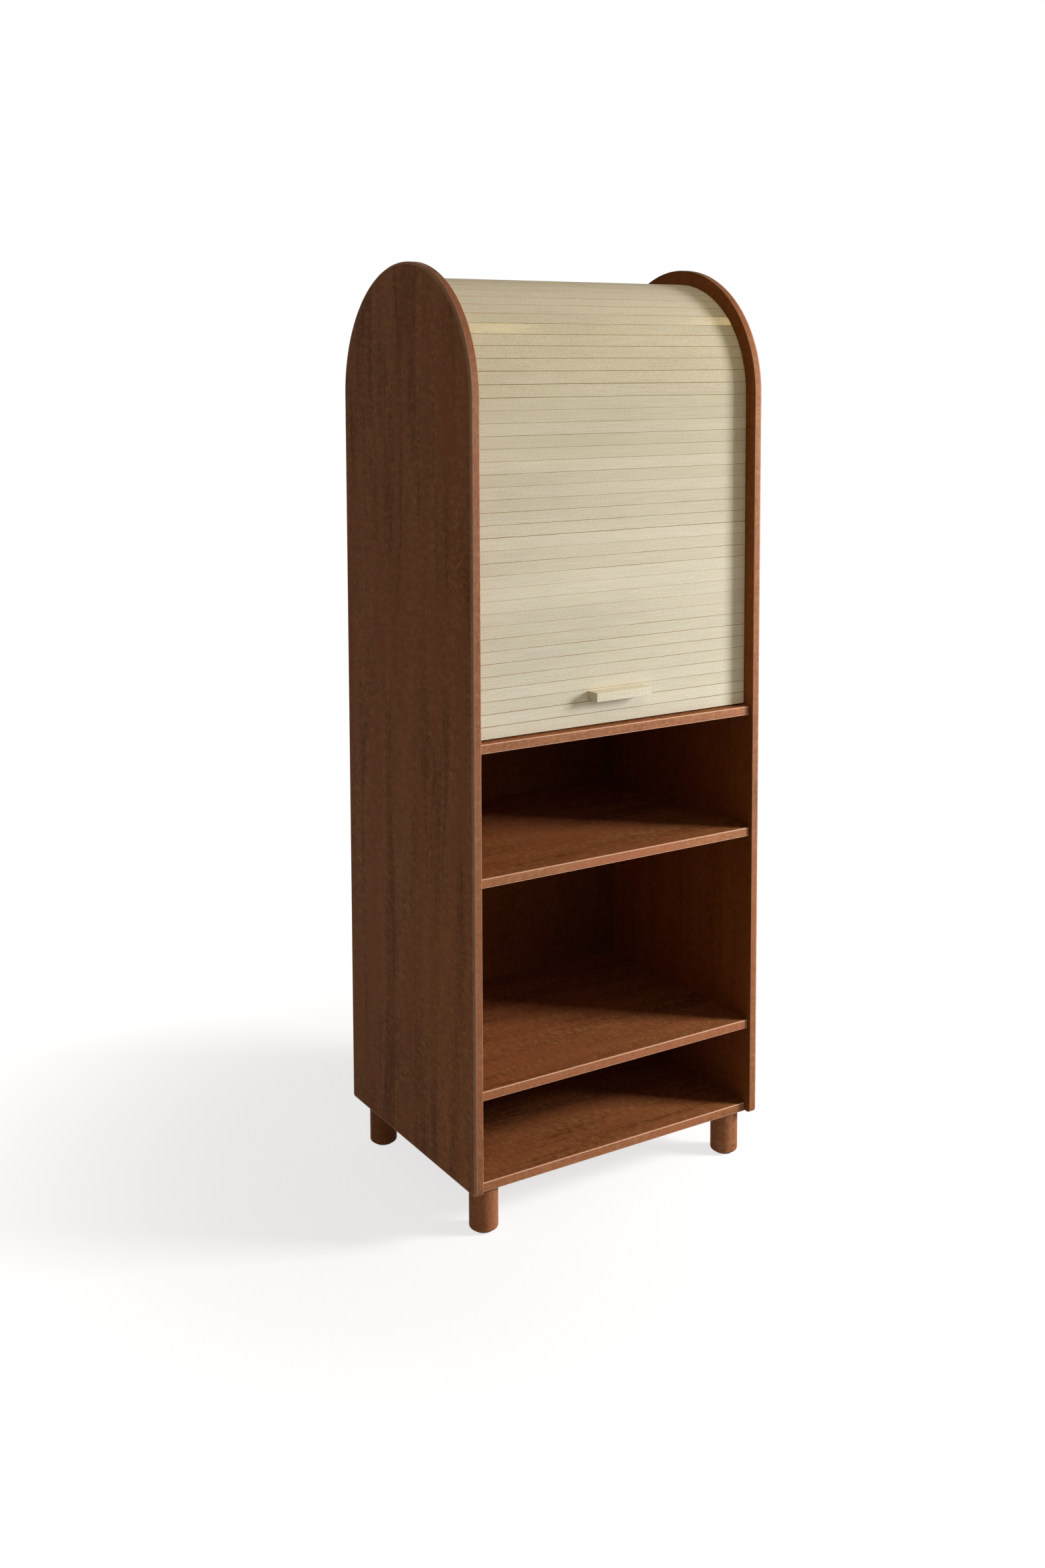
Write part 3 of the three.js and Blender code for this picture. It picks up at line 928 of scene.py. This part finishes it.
@dataclass
class SidePanels:
    """The two capsule topped side panels, with the grooves on their inner faces."""

    finishes: Finishes
    roundover: float = 0.005
    roundover_steps: int = 7
    # How far the outer roundover is lightened: wear and a painted highlight.
    roundover_rub: float = 0.55
    inner_ease: float = 0.0011
    inner_steps: int = 3
    corner: float = 0.007
    corner_steps: int = 6
    groove_inner: float = 0.18384
    groove_outer: float = 0.195
    groove_depth: float = 0.008
    groove_foot: float = 0.81
    back_groove: Span = (0.198, 0.2066)
    back_groove_depth: float = 0.0063
    back_groove_rise: float = 0.05
    false_groove: Span = (0.1758, 0.1804)
    false_groove_depth: float = 0.0043
    arch_steps: int = 112

    def build(self) -> None:
        """Builds both panels."""
        for side in Side:
            node = f"side_panel_{side.word}"
            work = self._panel(side)
            for face in work.bm.faces:
                outwards = face.normal.x * side.value
                face.material_index = 0 if outwards > FACING else 2 if outwards < -FACING else 1
            # The right panel's outer face, in the key light, gets the darker copy as painted shade; the
            # inner faces get the darker, redder inside stain as painted shade.
            outer = Stain.OUTSIDE if side is Side.LEFT else Stain.SUNLIT
            woods = [
                self.finishes.board(node, Grain.UPRIGHT, stain)
                for stain in (outer, Stain.EDGE, Stain.INSIDE)
            ]
            dress(work.finish(f"{node}_wood", *woods), Body.CARCASS, node)

    def _panel(self, side: Side) -> Workpiece:
        """Builds a panel: its inner face is swept round the arch, then given its thickness.

        Args:
            side: the hand of the cabinet that it stands on.

        Returns:
            The panel, with its arrises eased and its grooves sunk.
        """
        low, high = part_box(f"side_panel_{side.word}")
        depth = high.y
        springing = high.z - depth
        inner, outer = (low.x, high.x) if side is Side.RIGHT else (high.x, low.x)
        work = Workpiece()
        bm = work.bm
        rings = [0.0, *self.false_groove, self.groove_inner, self.groove_outer, *self.back_groove, depth]
        chain = [bm.verts.new((inner, -radius, springing)) for radius in rings]
        lines = [bm.edges.new(pair) for pair in zip(chain, chain[1:])]
        swept = bmesh.ops.spin(
            bm, geom=chain + lines, cent=(0.0, 0.0, springing), axis=(1.0, 0.0, 0.0), dvec=ORIGIN,
            angle=-math.pi, steps=self.arch_steps,
        )["geom_last"]
        for start in (lines, picked(swept, bmesh.types.BMEdge)):
            for level in (self.groove_foot, low.z):
                made = bmesh.ops.extrude_edge_only(bm, edges=start)["geom"]
                for vert in picked(made, bmesh.types.BMVert):
                    vert.co.z = level
                start = picked(made, bmesh.types.BMEdge)
        work.close()
        raised = bmesh.ops.extrude_face_region(bm, geom=bm.faces[:], use_keep_orig=True)["geom"]
        far = picked(raised, bmesh.types.BMVert)
        bmesh.ops.translate(bm, vec=(outer - inner, 0.0, 0.0), verts=far)
        work.close()

        foot = low.z + MERGE_DISTANCE
        feet = work.edges(
            lambda a, b: max(a.z, b.z) < foot and abs(a.x - b.x) > LONG and abs(a.y) > depth - NEAR
        )
        work.ease(feet, self.corner, self.corner_steps, rub=0.0)
        for face_x, width, steps, rub in (
            (outer, self.roundover, self.roundover_steps, self.roundover_rub),
            (inner, self.inner_ease, self.inner_steps, 1.0),
        ):
            rim = [
                edge for edge in bm.edges
                if all(abs(vert.co.x - face_x) < MERGE_DISTANCE for vert in edge.verts)
                and any(abs(face.normal.x) < FACING for face in edge.link_faces)
            ]
            work.ease(rim, width, steps, rub)
        self._mill(work, inner, side, springing, low.z)
        return work

    def _mill(
        self, work: Workpiece, inner: float, side: Side, springing: float, foot: float
    ) -> None:
        """Sinks the three grooves into the inner face.

        Args:
            work: the panel.
            inner: x of its inner face.
            side: the hand of the cabinet that it stands on.
            springing: the height at which its arch starts.
            foot: the height of its foot.
        """

        def on_track(centre: Vector) -> bool:
            """Whether a face lies in the curtain's groove."""
            reach = math.hypot(centre.y, max(centre.z - springing, 0.0))
            return centre.z > self.groove_foot and self.groove_inner < reach < self.groove_outer

        def upright(span: Span, start: float) -> Callable[[Vector], bool]:
            """A test for faces in a straight groove that runs from a height to the springing."""
            return lambda centre: span[0] < centre.y < span[1] and start < centre.z < springing

        for test, depth in (
            (on_track, self.groove_depth),
            (upright(self.back_groove, foot + self.back_groove_rise), self.back_groove_depth),
            (upright(self.false_groove, self.groove_foot), self.false_groove_depth),
        ):
            centres = ((face, face.calc_center_median()) for face in work.bm.faces)
            floor = [
                face for face, centre in centres
                if abs(centre.x - inner) < MERGE_DISTANCE and test(centre)
            ]
            made = bmesh.ops.extrude_face_region(work.bm, geom=floor)["geom"]
            sunk = picked(made, bmesh.types.BMVert)
            bmesh.ops.translate(work.bm, vec=(side.value * depth, 0.0, 0.0), verts=sunk)
            bmesh.ops.delete(work.bm, geom=floor, context="FACES_ONLY")
        work.close()


@dataclass
class Boards:
    """The boards between the side panels, the back panel and the false back."""

    finishes: Finishes
    ease: float = 0.002
    ease_steps: int = 4
    corner_ease: float = 0.003
    corner_steps: int = 5
    # How far the front corners are lightened: wear and a painted highlight.
    corner_rub: float = 0.6
    rear_ease: float = 0.0006
    rear_steps: int = 2
    back_ease: float = 0.0015
    sheet_steps: int = 3
    # Painted shade: the back panel, deep in the bays, is darkened to this share of the usual brightness.
    back_tone: float = 0.58
    shelves: tuple[str, ...] = ("bottom_panel", "lower_shelf", "upper_shelf", "compartment_floor")

    def build(self) -> None:
        """Builds every board."""
        for name in self.shelves:
            self._shelf(name)
        self._sheet("top_stretcher", Grain.ACROSS, self.ease, self.sheet_steps)
        self._sheet("back_panel", Grain.UPRIGHT, self.back_ease, self.sheet_steps, self.back_tone)
        self._sheet("false_back", Grain.UPRIGHT, self.rear_ease, self.rear_steps)

    def _shelf(self, name: str) -> None:
        """Builds a shelf whose front arrises and front corners are eased.

        Args:
            name: the shelf's CAD node.
        """
        low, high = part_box(name)
        work = Workpiece()
        work.block(low, high)
        near = low.y + NEAR
        uprights = work.edges(lambda a, b: max(a.y, b.y) < near and abs(a.z - b.z) > LONG)
        work.ease(uprights, self.corner_ease, self.corner_steps, self.corner_rub)
        front = near + self.corner_ease
        arrises = work.edges(lambda a, b: max(a.y, b.y) < front and abs(a.z - b.z) < NEAR)
        work.ease(arrises, self.ease, self.ease_steps)
        far = high.y - NEAR
        work.ease(work.edges(lambda a, b: min(a.y, b.y) > far), self.rear_ease, self.rear_steps)
        work.close()
        for face in work.bm.faces:
            face.material_index = 0 if face.normal.y < -FACING else 2 if face.normal.z > FACING else 1
        # Shelf fronts are lighter for wear and for a painted sheen; the tops and the other faces carry
        # painted shade.
        woods = [
            self.finishes.board(name, Grain.ACROSS, stain)
            for stain in (Stain.WORN_EDGE, Stain.INSIDE, Stain.SHELF)
        ]
        dress(work.finish(f"{name}_wood", *woods), Body.CARCASS, name)

    def _sheet(self, name: str, grain: Grain, width: float, steps: int, tone: float = 1.0) -> None:
        """Builds a board whose long arrises are all eased.

        Args:
            name: the board's CAD node.
            grain: the axis that its grain runs along.
            width: how far the easing reaches over each face.
            steps: facets of the easing.
            tone: its brightness against the rest.
        """
        work = Workpiece()
        work.block(*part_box(name))
        work.ease(work.edges(lambda a, b: abs(a.x - b.x) > LONG), width, steps)
        work.close()
        # Painted shade: these boards take the darker inside stain.
        wood = self.finishes.board(name, grain, Stain.INSIDE, tone)
        dress(work.finish(f"{name}_wood", wood), Body.CARCASS, name)


@dataclass
class Legs:
    """Four turned legs on felt glides."""

    finishes: Finishes
    foot_radius: float = 0.005
    top_ease: float = 0.0006
    glide_foot_radius: float = 0.0008
    glide_top_ease: float = 0.0004
    segments: int = 72
    foot_steps: int = 7
    top_steps: int = 3
    first_tone: float = 1.08
    tone_step: float = 0.03
    places: tuple[str, ...] = ("front_left", "front_right", "rear_left", "rear_right")

    def build(self) -> None:
        """Builds the legs and their glides."""
        for number, place in enumerate(self.places):
            leg, glide = f"leg_{place}", f"glide_{place}"
            tone = self.first_tone + self.tone_step * number
            wood = self.finishes.board(leg, Grain.UPRIGHT, Stain.EDGE, tone)
            turned = self._turned(leg, f"{leg}_wood", self.foot_radius, self.top_ease, wood)
            dress(turned, Body.CARCASS, leg)
            rounds = self.glide_foot_radius, self.glide_top_ease
            turned = self._turned(glide, f"{glide}_felt", *rounds, self.finishes.felt)
            dress(turned, Body.CARCASS, glide)

    def _turned(
        self, node: str, name: str, low_round: float, top_round: float, finish: bpy.types.Material
    ) -> bpy.types.Object:
        """Turns a round piece whose lower and upper rims are rounded.

        Args:
            node: the CAD node whose box it fills.
            name: the piece's name.
            low_round: the radius of its lower rim.
            top_round: the radius of its upper rim.
            finish: its material.

        Returns:
            The piece.
        """
        low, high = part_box(node)
        radius = (high.x - low.x) / 2
        height = high.z - low.z
        foot, crown = (
            [(math.sin(turn), math.cos(turn)) for turn in (math.pi / 2 * i / n for i in range(n + 1))]
            for n in (self.foot_steps, self.top_steps)
        )
        profile = [
            (0.0, 0.0),
            *((radius - low_round * (1 - sine), low_round * (1 - cosine)) for sine, cosine in foot),
            *((radius - top_round * (1 - cosine), height - top_round * (1 - sine))
              for sine, cosine in crown),
            (0.0, height),
        ]
        work = Workpiece()
        centre = Vector(((low.x + high.x) / 2, (low.y + high.y) / 2, low.z))
        work.turn(profile, centre, self.segments)
        return work.finish(name, finish)


@dataclass
class Curtain:
    """The roll shutter: slats up the front, over the arch and at the back, with their canvas."""

    finishes: Finishes
    pitch: float = 0.02
    thickness: float = 0.01
    canvas_thickness: float = 0.0006
    lead_count: int = 3
    arch_count: int = 29
    tail_count: int = 2
    gap: float = 0.00005
    arch_gap: float = 0.0002
    arch_openness: float = 1.9
    openness_spread: float = 0.6
    hair: float = 0.000004
    stations: int = 44
    waver: float = 0.00003
    # Each wave's share of the waver, and how many radians it turns in half a slat's length.
    waves: tuple[Span, ...] = ((0.4, 2.6), (0.3, 13.1), (0.25, 31.0))
    drift_share: float = 0.35
    slat_ease: float = 0.00048
    slat_steps: int = 3
    # The rim of a slat's face turns by more than this, in radians.
    square_turn: float = 1.0
    # A face that looks at least this far outwards is lacquered.
    lacquer_reach: float = 0.5
    usual_rub: float = 0.9
    # The number of the slat with the most painted shade, on the arch's shoulder, and over how many slats
    # that fades below and above it.
    shoulder: float = 31.5
    aged_below: float = 20.0
    aged_above: float = 5.0
    aged_power: float = 1.3
    tone_scatter: float = 0.1
    squash_keep: float = 0.009
    chance: random.Random = field(default_factory=lambda: random.Random(7))

    def build(self) -> None:
        """Builds every slat and canvas."""
        low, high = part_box("lead_slat_1")
        self.half_length = high.x
        self.hinge = -high.y
        self.bottom = low.z
        self.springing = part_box("tail_slat_1")[1].z
        self.canvas_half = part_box("lead_canvas")[1].x
        self.front_count = round((self.springing - self.bottom) / self.pitch)
        self.pitch = (self.springing - self.bottom) / self.front_count
        count = self.front_count + self.arch_count + self.tail_count + 1
        self.joints = [self._openness(number) for number in range(count)]
        self._end(Body.LEAD, "lead", -1.0, 0, [
            self._front_place(number) for number in range(self.lead_count)
        ])
        self._front()
        self._arch()
        self._end(Body.TAIL, "tail", 1.0, self.front_count + self.arch_count, [
            Matrix.Translation((0.0, 0.0, -(number + 0.5) * self.pitch))
            @ self._around(math.pi, self.hinge)
            for number in range(self.tail_count)
        ])

    def _openness(self, number: int) -> float:
        """How far a joint stands open, against the usual.

        Args:
            number: its number, counted from the bottom of the curtain.

        Returns:
            What the photograph shows, or else what chance gives it.
        """
        usual = self.arch_openness if number > self.front_count else 1.0
        scatter = 0.0 if number in OPEN_JOINTS else self.openness_spread
        shift = self.chance.gauss(-self.openness_spread / 2, scatter)
        return OPEN_JOINTS.get(number, usual) * math.exp(shift)

    def _tone(self, number: int) -> float:
        """How pale a slat is: painted shade darkens the shoulder of the arch, which catches the light,
        and fades towards a paler front, where the paleness is a painted sheen, with a little random
        tone.

        Args:
            number: its number, counted from the bottom of the curtain.

        Returns:
            Its tone, from about 0 where the painted shade is fullest to about 1.
        """
        away = number - self.shoulder
        reach = self.aged_above if away > 0.0 else self.aged_below
        scatter = self.chance.uniform(-self.tone_scatter, self.tone_scatter)
        return 1.0 - math.exp(-(abs(away / reach) ** self.aged_power)) + scatter

    def _slat(self, flare: float, number: int) -> Workpiece:
        """Builds a slat, with its back on y = 0 and its face towards -Y.

        Args:
            flare: how much wider its face is than its back.
            number: its number, counted from the bottom of the curtain.

        Returns:
            The slat, a hair out of true as sawn wood is.
        """
        work = Workpiece()
        half = self.pitch / 2
        low = Vector((-self.half_length, -self.thickness, -half))
        work.block(low, Vector((self.half_length, 0.0, half)))
        lengths = work.edges(lambda a, b: abs(a.x - b.x) > LONG)
        bmesh.ops.subdivide_edges(work.bm, edges=lengths, cuts=self.stations - 1, use_grid_fill=True)
        starts = [self.chance.uniform(0.0, math.tau) for _ in range(4)]
        drift = [self.chance.uniform(-1.0, 1.0) for _ in range(2)]
        tone = self._tone(number)
        joints = self.joints[number : number + 2]
        for vert in work.bm.verts:
            upper = vert.co.z > 0.0
            hand = math.copysign(1.0, vert.co.z)
            if vert.co.y < -self.thickness / 2:
                vert.co.z += hand * flare / 2
            first, second = starts[:2] if upper else starts[2:]
            along = vert.co.x / self.half_length
            wave = self.drift_share * drift[upper] + sum(
                share * math.sin(rate * along + start)
                for (share, rate), start in zip(self.waves, (first, second, 2.0 * first))
            )
            shaved = self.gap * joints[upper] / 2 - hand * self.waver * wave
            vert.co.z -= hand * max(shaved, self.hair)
        front = work.edges(lambda a, b: max(a.y, b.y) < MERGE_DISTANCE - self.thickness)
        rim = [edge for edge in front if edge.calc_face_angle(0.0) > self.square_turn]
        work.ease(rim, self.slat_ease, self.slat_steps)
        for face in work.bm.faces:
            face.material_index = 0 if face.normal.y < -self.lacquer_reach else 1
        for vert in work.bm.verts:
            # The slat's painted shade and sheen, with its random tone.
            vert[work.tone] = tone
            vert[work.arris] *= min(joints[vert.co.z > 0.0] * self.usual_rub, 1.0)
        return work

    def _front_place(self, number: int) -> Matrix:
        """Where the slat of a number stands on the front, counted from the lowest."""
        return Matrix.Translation((0.0, -self.hinge, self.bottom + (number + 0.5) * self.pitch))

    def _around(self, angle: float, reach: float) -> Matrix:
        """Where a slat lies after it has gone an angle round the arch, at a reach from its centre."""
        to_springing = Matrix.Translation((0.0, 0.0, self.springing))
        return to_springing @ Matrix.Rotation(-angle, 4, "X") @ Matrix.Translation((0.0, -reach, 0.0))

    def _slats(
        self, name: str, body: Body, node: str, places: list[Matrix], first: int, flare: float = 0.0
    ) -> bpy.types.Object:
        """Builds a run of slats as one piece.

        Args:
            name: the piece's name.
            body: the body that it rides on.
            node: the CAD node that it stands for.
            places: where each slat lies.
            first: the number of the first, counted from the bottom of the curtain.
            flare: how much wider their faces are than their backs.

        Returns:
            The piece.
        """
        work = Workpiece()
        for number, place in enumerate(places, first):
            work.join(self._slat(flare, number), place)
        bmesh.ops.recalc_face_normals(work.bm, faces=work.bm.faces[:])
        piece = work.finish(name, self.finishes.lacquer, self.finishes.sawn_slat)
        return dress(piece, body, node)

    def _cloth(
        self, node: str, body: Body, start: Vector, steps: list[Matrix], length: float, slats: list[str]
    ) -> bpy.types.Object:
        """Builds a canvas by carrying one cut end through steps, then giving it thickness.

        Args:
            node: the CAD node that it stands for.
            body: the body that it rides on.
            start: where the cut end begins; x is half its width.
            steps: the moves from each fold to the next.
            length: the flat length.
            slats: not used.

        Returns:
            The canvas.
        """
        work = Workpiece()
        bm = work.bm
        weave = bm.loops.layers.uv.new("cloth")
        ends = [bm.verts.new((side * start.x, start.y, start.z)) for side in (-1.0, 1.0)]
        edges = [bm.edges.new(ends)]
        for number, step in enumerate(steps):
            made = bmesh.ops.extrude_edge_only(bm, edges=edges)["geom"]
            fresh = picked(made, bmesh.types.BMVert)
            bmesh.ops.transform(bm, matrix=step, verts=fresh)
            edges = picked(made, bmesh.types.BMEdge)[:1]
            for face in picked(made, bmesh.types.BMFace):
                for loop in face.loops:
                    far = loop.vert in fresh
                    loop[weave].uv = (loop.vert.co.x, length * (number + far) / len(steps))
        bmesh.ops.recalc_face_normals(bm, faces=bm.faces[:])
        bmesh.ops.solidify(bm, geom=bm.faces[:], thickness=self.canvas_thickness)
        bmesh.ops.recalc_face_normals(bm, faces=bm.faces[:])
        piece = work.finish(f"{node}_cloth", self.finishes.canvas)
        cloth = dress(piece, body, node)
        return cloth

    def _straight(
        self, node: str, body: Body, middle: float, span: Span, slats: list[str]
    ) -> bpy.types.Object:
        """Builds a flat canvas behind a straight run of slats.

        Args:
            node: the CAD node that it stands for.
            body: the body that it rides on.
            middle: y of the middle of its thickness.
            span: its lowest and highest point.
            slats: the pieces that it is glued to.

        Returns:
            The canvas.
        """
        length = span[1] - span[0]
        count = round(length / self.pitch)
        steps = [Matrix.Translation((0.0, 0.0, length / count))] * count
        face = middle - self.canvas_thickness / 2
        cloth = self._cloth(
            node, body, Vector((self.canvas_half, face, span[0])), steps, length, slats
        )
        shift = face - min(vert.co.y for vert in cloth.data.vertices)
        cloth.data.transform(Matrix.Translation((0.0, shift, 0.0)))
        return cloth

    def _end(self, body: Body, word: str, side: float, first: int, places: list[Matrix]) -> None:
        """Builds the separate slats at one end of the curtain, and their canvas.

        Args:
            body: the body that they ride on.
            word: the word that the nodes' names start with.
            side: the sign of y where they run.
            first: the number of the first slat, counted from the bottom of the curtain.
            places: where each slat lies.
        """
        slats = [f"{word}_slat_{number + 1}" for number in range(len(places))]
        for number, (node, place) in enumerate(zip(slats, places), first):
            self._slats(f"{node}_wood", body, node, [place], number)
        low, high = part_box(f"{word}_canvas")
        middle = side * (abs(low.y) + abs(high.y)) / 2
        woods = [f"{node}_wood" for node in slats]
        self._straight(f"{word}_canvas", body, middle, (low.z, high.z), woods)

    def _front(self) -> None:
        """Builds the slats and canvas above the lead slats, which fold away at the springing."""
        places = [self._front_place(number) for number in range(self.lead_count, self.front_count)]
        node = "front_curtain"
        slats = self._slats(f"{node}_slats", Body.CARCASS, node, places, self.lead_count)
        low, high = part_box(node)
        middle = -self.hinge + self.canvas_thickness / 2
        cloth = self._straight(node, Body.CARCASS, middle, (low.z, high.z), [slats.name])
        for piece in (slats, cloth):
            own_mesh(piece)

    def _arch(self) -> None:
        """Builds the slats and canvas over the arch."""
        step = math.pi / self.arch_count
        reach = self.hinge * math.cos(step / 2)
        chord = 2 * self.hinge * math.sin(step / 2)
        places = [self._around((number + 0.5) * step, reach) for number in range(self.arch_count)]
        flare = 2 * self.thickness * math.tan(step / 2) - self.arch_gap
        node = "arch_curtain"
        slats = self._slats(f"{node}_slats", Body.CARCASS, node, places, self.front_count, flare)
        turn = self._around(step, 0.0) @ Matrix.Translation((0.0, 0.0, -self.springing))
        face = -self.hinge + self.canvas_thickness / 2
        start = Vector((self.canvas_half, face, self.springing))
        turns = [turn] * self.arch_count
        self._cloth(node, Body.CARCASS, start, turns, chord * self.arch_count, [slats.name])


@dataclass
class Handle:
    """The plain block on the third slat."""

    finishes: Finishes
    ease: float = 0.0011
    steps: int = 3
    rub: float = 0.4

    def build(self) -> None:
        """Builds the handle."""
        low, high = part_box("handle")
        work = Workpiece()
        work.block(low, high)
        far = high.y - MERGE_DISTANCE
        work.ease(work.edges(lambda a, b: min(a.y, b.y) <= far), self.ease, self.steps, self.rub)
        for vert in work.bm.verts:
            vert[work.tone] = 1.0
        work.close()
        piece = work.finish("handle_wood", self.finishes.handle_lacquer)
        dress(piece, Body.LEAD, "handle")


@dataclass
class Fittings:
    """Dowels, bolts, screws and felt stops, which keep their CAD shapes."""

    finishes: Finishes
    nodes: dict[str, bpy.types.Object]

    def build(self) -> None:
        """Gives each fitting its finish."""
        kinds = {
            "dowel_": self.finishes.beech,
            "leg_bolt_": self.finishes.zinc,
            "handle_screw_": self.finishes.zinc,
            "closing_pad_": self.finishes.felt,
            "tail_buffer_": self.finishes.felt,
        }
        for name, node in self.nodes.items():
            for start, finish in kinds.items():
                if name.startswith(start):
                    node.material_slots[0].material = finish
                    LOG.info("%s keeps its CAD shape", name)


@dataclass(frozen=True)
class Lamp:
    """A square soft lamp.

    Args:
        name: the lamp's name.
        place: where it hangs.
        aim: the point that it faces.
        size: its width and height.
        radiance: how bright it looks.
        colour: its tint.
        only: starts of the names of the pieces that it reaches; without them it reaches everything.
        gloss: whether it shows as a gloss alone, and doesn't light.
        unblocked: whether pieces that it doesn't reach let it through.
        past: starts of the names of the pieces that cast no shadow in its light.
    """

    name: str
    place: Point
    aim: Point
    size: float
    radiance: float
    colour: Colour = WHITE
    only: tuple[str, ...] = ()
    gloss: bool = False
    unblocked: bool = False
    past: tuple[str, ...] = ()

    def build(self) -> None:
        """Builds the lamp and the lists of pieces that it reaches and that shade its light."""
        light = bpy.data.lights.new(self.name, "AREA")
        light.shape = "SQUARE"
        light.size = self.size
        light.energy = self.radiance * math.pi * self.size**2
        light.color = self.colour
        lamp = bpy.data.objects.new(self.name, light)
        facing = (Vector(self.place) - Vector(self.aim)).to_track_quat("Z", "Y")
        lamp.matrix_world = Matrix.Translation(self.place) @ facing.to_matrix().to_4x4()
        lamp.visible_camera = False
        lamp.visible_diffuse = not self.gloss
        lamp.visible_glossy = self.gloss
        bpy.context.scene.collection.objects.link(lamp)
        linking = lamp.light_linking
        if self.only:
            lit = self._pieces("receivers", lambda name: name.startswith(self.only))
            linking.receiver_collection = lit
            if self.unblocked:
                linking.blocker_collection = lit
        if self.past:
            shading = self._pieces("blockers", lambda name: not name.startswith(self.past))
            linking.blocker_collection = shading

    def _pieces(self, word: str, test: Callable[[str], bool]) -> bpy.types.Collection:
        """Collects the pieces whose names pass a test.

        Args:
            word: what the collection is for.
            test: the test.

        Returns:
            The collection, which isn't in the scene.
        """
        made = bpy.data.collections.new(f"{self.name}_{word}")
        for piece in bpy.context.scene.objects:
            if test(piece.name):
                made.objects.link(piece)
        return made


@dataclass
class Studio:
    """The floor, the lamps, the world and the camera."""

    camera_place: Point = (-1.5539, -2.3926, 1.4055)
    camera_yaw: float = 31.992
    camera_pitch: float = -4.816
    camera_roll: float = -0.196
    lens: float = 37.669
    sensor: float = 36.0
    shift: float = -0.18
    ambient: Colour = (0.158, 0.146, 0.124)
    floor_size: float = 60.0
    floor_colour: Colour = (0.6, 0.6, 0.6)
    floor_shade: Colour = (0.45, 0.45, 0.45)
    floor_glow: float = 0.74
    far_glow: float = 0.3
    far_span: Span = (0.45, 1.6)
    lamps: tuple[Lamp, ...] = (
        Lamp("key", place=(2.377, -1.748, 1.62), aim=(0.0, -0.2, 0.9), size=0.8, radiance=49.0),
        Lamp(
            "curtain_fill", place=(-0.3, -2.8, 3.9), aim=(0.0, -0.2, 1.1), size=2.6, radiance=2.56,
            colour=(1.0, 0.8, 0.52), only=("lead_slat", "front_curtain", "arch_curtain", "handle"),
            past=("handle",),
        ),
        Lamp(
            "window", place=(1.9, -2.2, 1.3), aim=(0.0, -0.2, 0.8), size=2.2, radiance=42.0,
            colour=(1.0, 0.95, 0.88), gloss=True, only=("side_panel", *Boards.shelves, "leg"),
        ),
        Lamp(
            "left_glint", place=(1.338, -1.056, 3.870), aim=(-0.21, -0.161, 1.461), size=0.1,
            radiance=85.0, colour=(1.0, 0.8, 0.4), only=("arch_curtain",), gloss=True, unblocked=True,
        ),
        Lamp(
            "right_glint", place=(2.186, -0.449, 3.780), aim=(0.285, -0.149, 1.478), size=0.06,
            radiance=420.0, colour=(1.0, 0.8, 0.45), only=("arch_curtain",), gloss=True, unblocked=True,
        ),
    )

    def build(self) -> None:
        """Builds the studio."""
        self._floor()
        self._world()
        for lamp in self.lamps:
            lamp.build()
        self._camera()
        bpy.context.scene.view_settings.view_transform = "Standard"

    @staticmethod
    def _seen(graph: Graph) -> Value:
        """Picks out the rays that show the background: from the camera, a gloss or a transmission.

        Args:
            graph: the graph of the floor or the world.

        Returns:
            1 for such a ray, and otherwise 0.
        """
        path = graph.node("ShaderNodeLightPath").outputs
        camera, glossy, transmission = (
            Value(graph, path[f"Is {word} Ray"]) for word in ("Camera", "Glossy", "Transmission")
        )
        return graph.math("MINIMUM", camera + glossy + transmission, 1.0)

    def _floor(self) -> None:
        """Builds a pale floor that keeps the shadow."""
        work = Workpiece()
        bmesh.ops.create_grid(work.bm, x_segments=1, y_segments=1, size=self.floor_size / 2)
        material, graph = new_material("pale_floor")
        seen = self._seen(graph)
        matt = graph.mix(seen, self.floor_colour, self.floor_shade)
        diffuse = graph.node("ShaderNodeBsdfDiffuse", None, {"Color": matt})
        reach = graph.node("ShaderNodeVectorMath", {"operation": "LENGTH"}, {0: graph.object_place()})
        far = Value(graph, reach.outputs["Value"]).above(*self.far_span)
        strength = seen * (self.floor_glow + far * self.far_glow)
        glow = graph.node("ShaderNodeEmission", None, {"Strength": strength})
        shaders = {0: diffuse.outputs["BSDF"], 1: glow.outputs["Emission"]}
        both = graph.node("ShaderNodeAddShader", None, shaders)
        graph.node("ShaderNodeOutputMaterial", None, {"Surface": both.outputs["Shader"]})
        work.finish("studio_floor", material)

    def _world(self) -> None:
        """Builds a dim surround that shows white to the camera."""
        world = bpy.data.worlds.new("studio")
        world.use_nodes = True
        graph = Graph(world.node_tree)
        colour = graph.mix(self._seen(graph), self.ambient, WHITE)
        background = graph.node("ShaderNodeBackground", None, {"Color": colour, "Strength": 1.0})
        output = {"Surface": background.outputs["Background"]}
        graph.node("ShaderNodeOutputWorld", None, output)
        bpy.context.scene.world = world

    def _camera(self) -> None:
        """Sets the camera at the photograph's angle."""
        data = bpy.data.cameras.new("camera")
        data.lens = self.lens
        data.sensor_width = self.sensor
        data.shift_y = self.shift
        camera = bpy.data.objects.new("camera", data)
        camera.matrix_world = (
            Matrix.Translation(self.camera_place)
            @ Matrix.Rotation(-math.radians(self.camera_yaw), 4, "Z")
            @ Matrix.Rotation(math.radians(90.0 + self.camera_pitch), 4, "X")
            @ Matrix.Rotation(math.radians(self.camera_roll), 4, "Z")
        )
        bpy.context.scene.collection.objects.link(camera)
        bpy.context.scene.camera = camera


def main() -> None:
    """Builds the cabinet's looks in order."""
    logging.basicConfig(level=logging.INFO, format="%(name)s: %(message)s")
    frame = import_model()
    finishes = Finishes()
    SidePanels(finishes).build()
    Boards(finishes).build()
    Legs(finishes).build()
    Curtain(finishes).build()
    Handle(finishes).build()
    Fittings(finishes, frame["nodes"]).build()
    Studio().build()


if __name__ == "__main__":
    main()
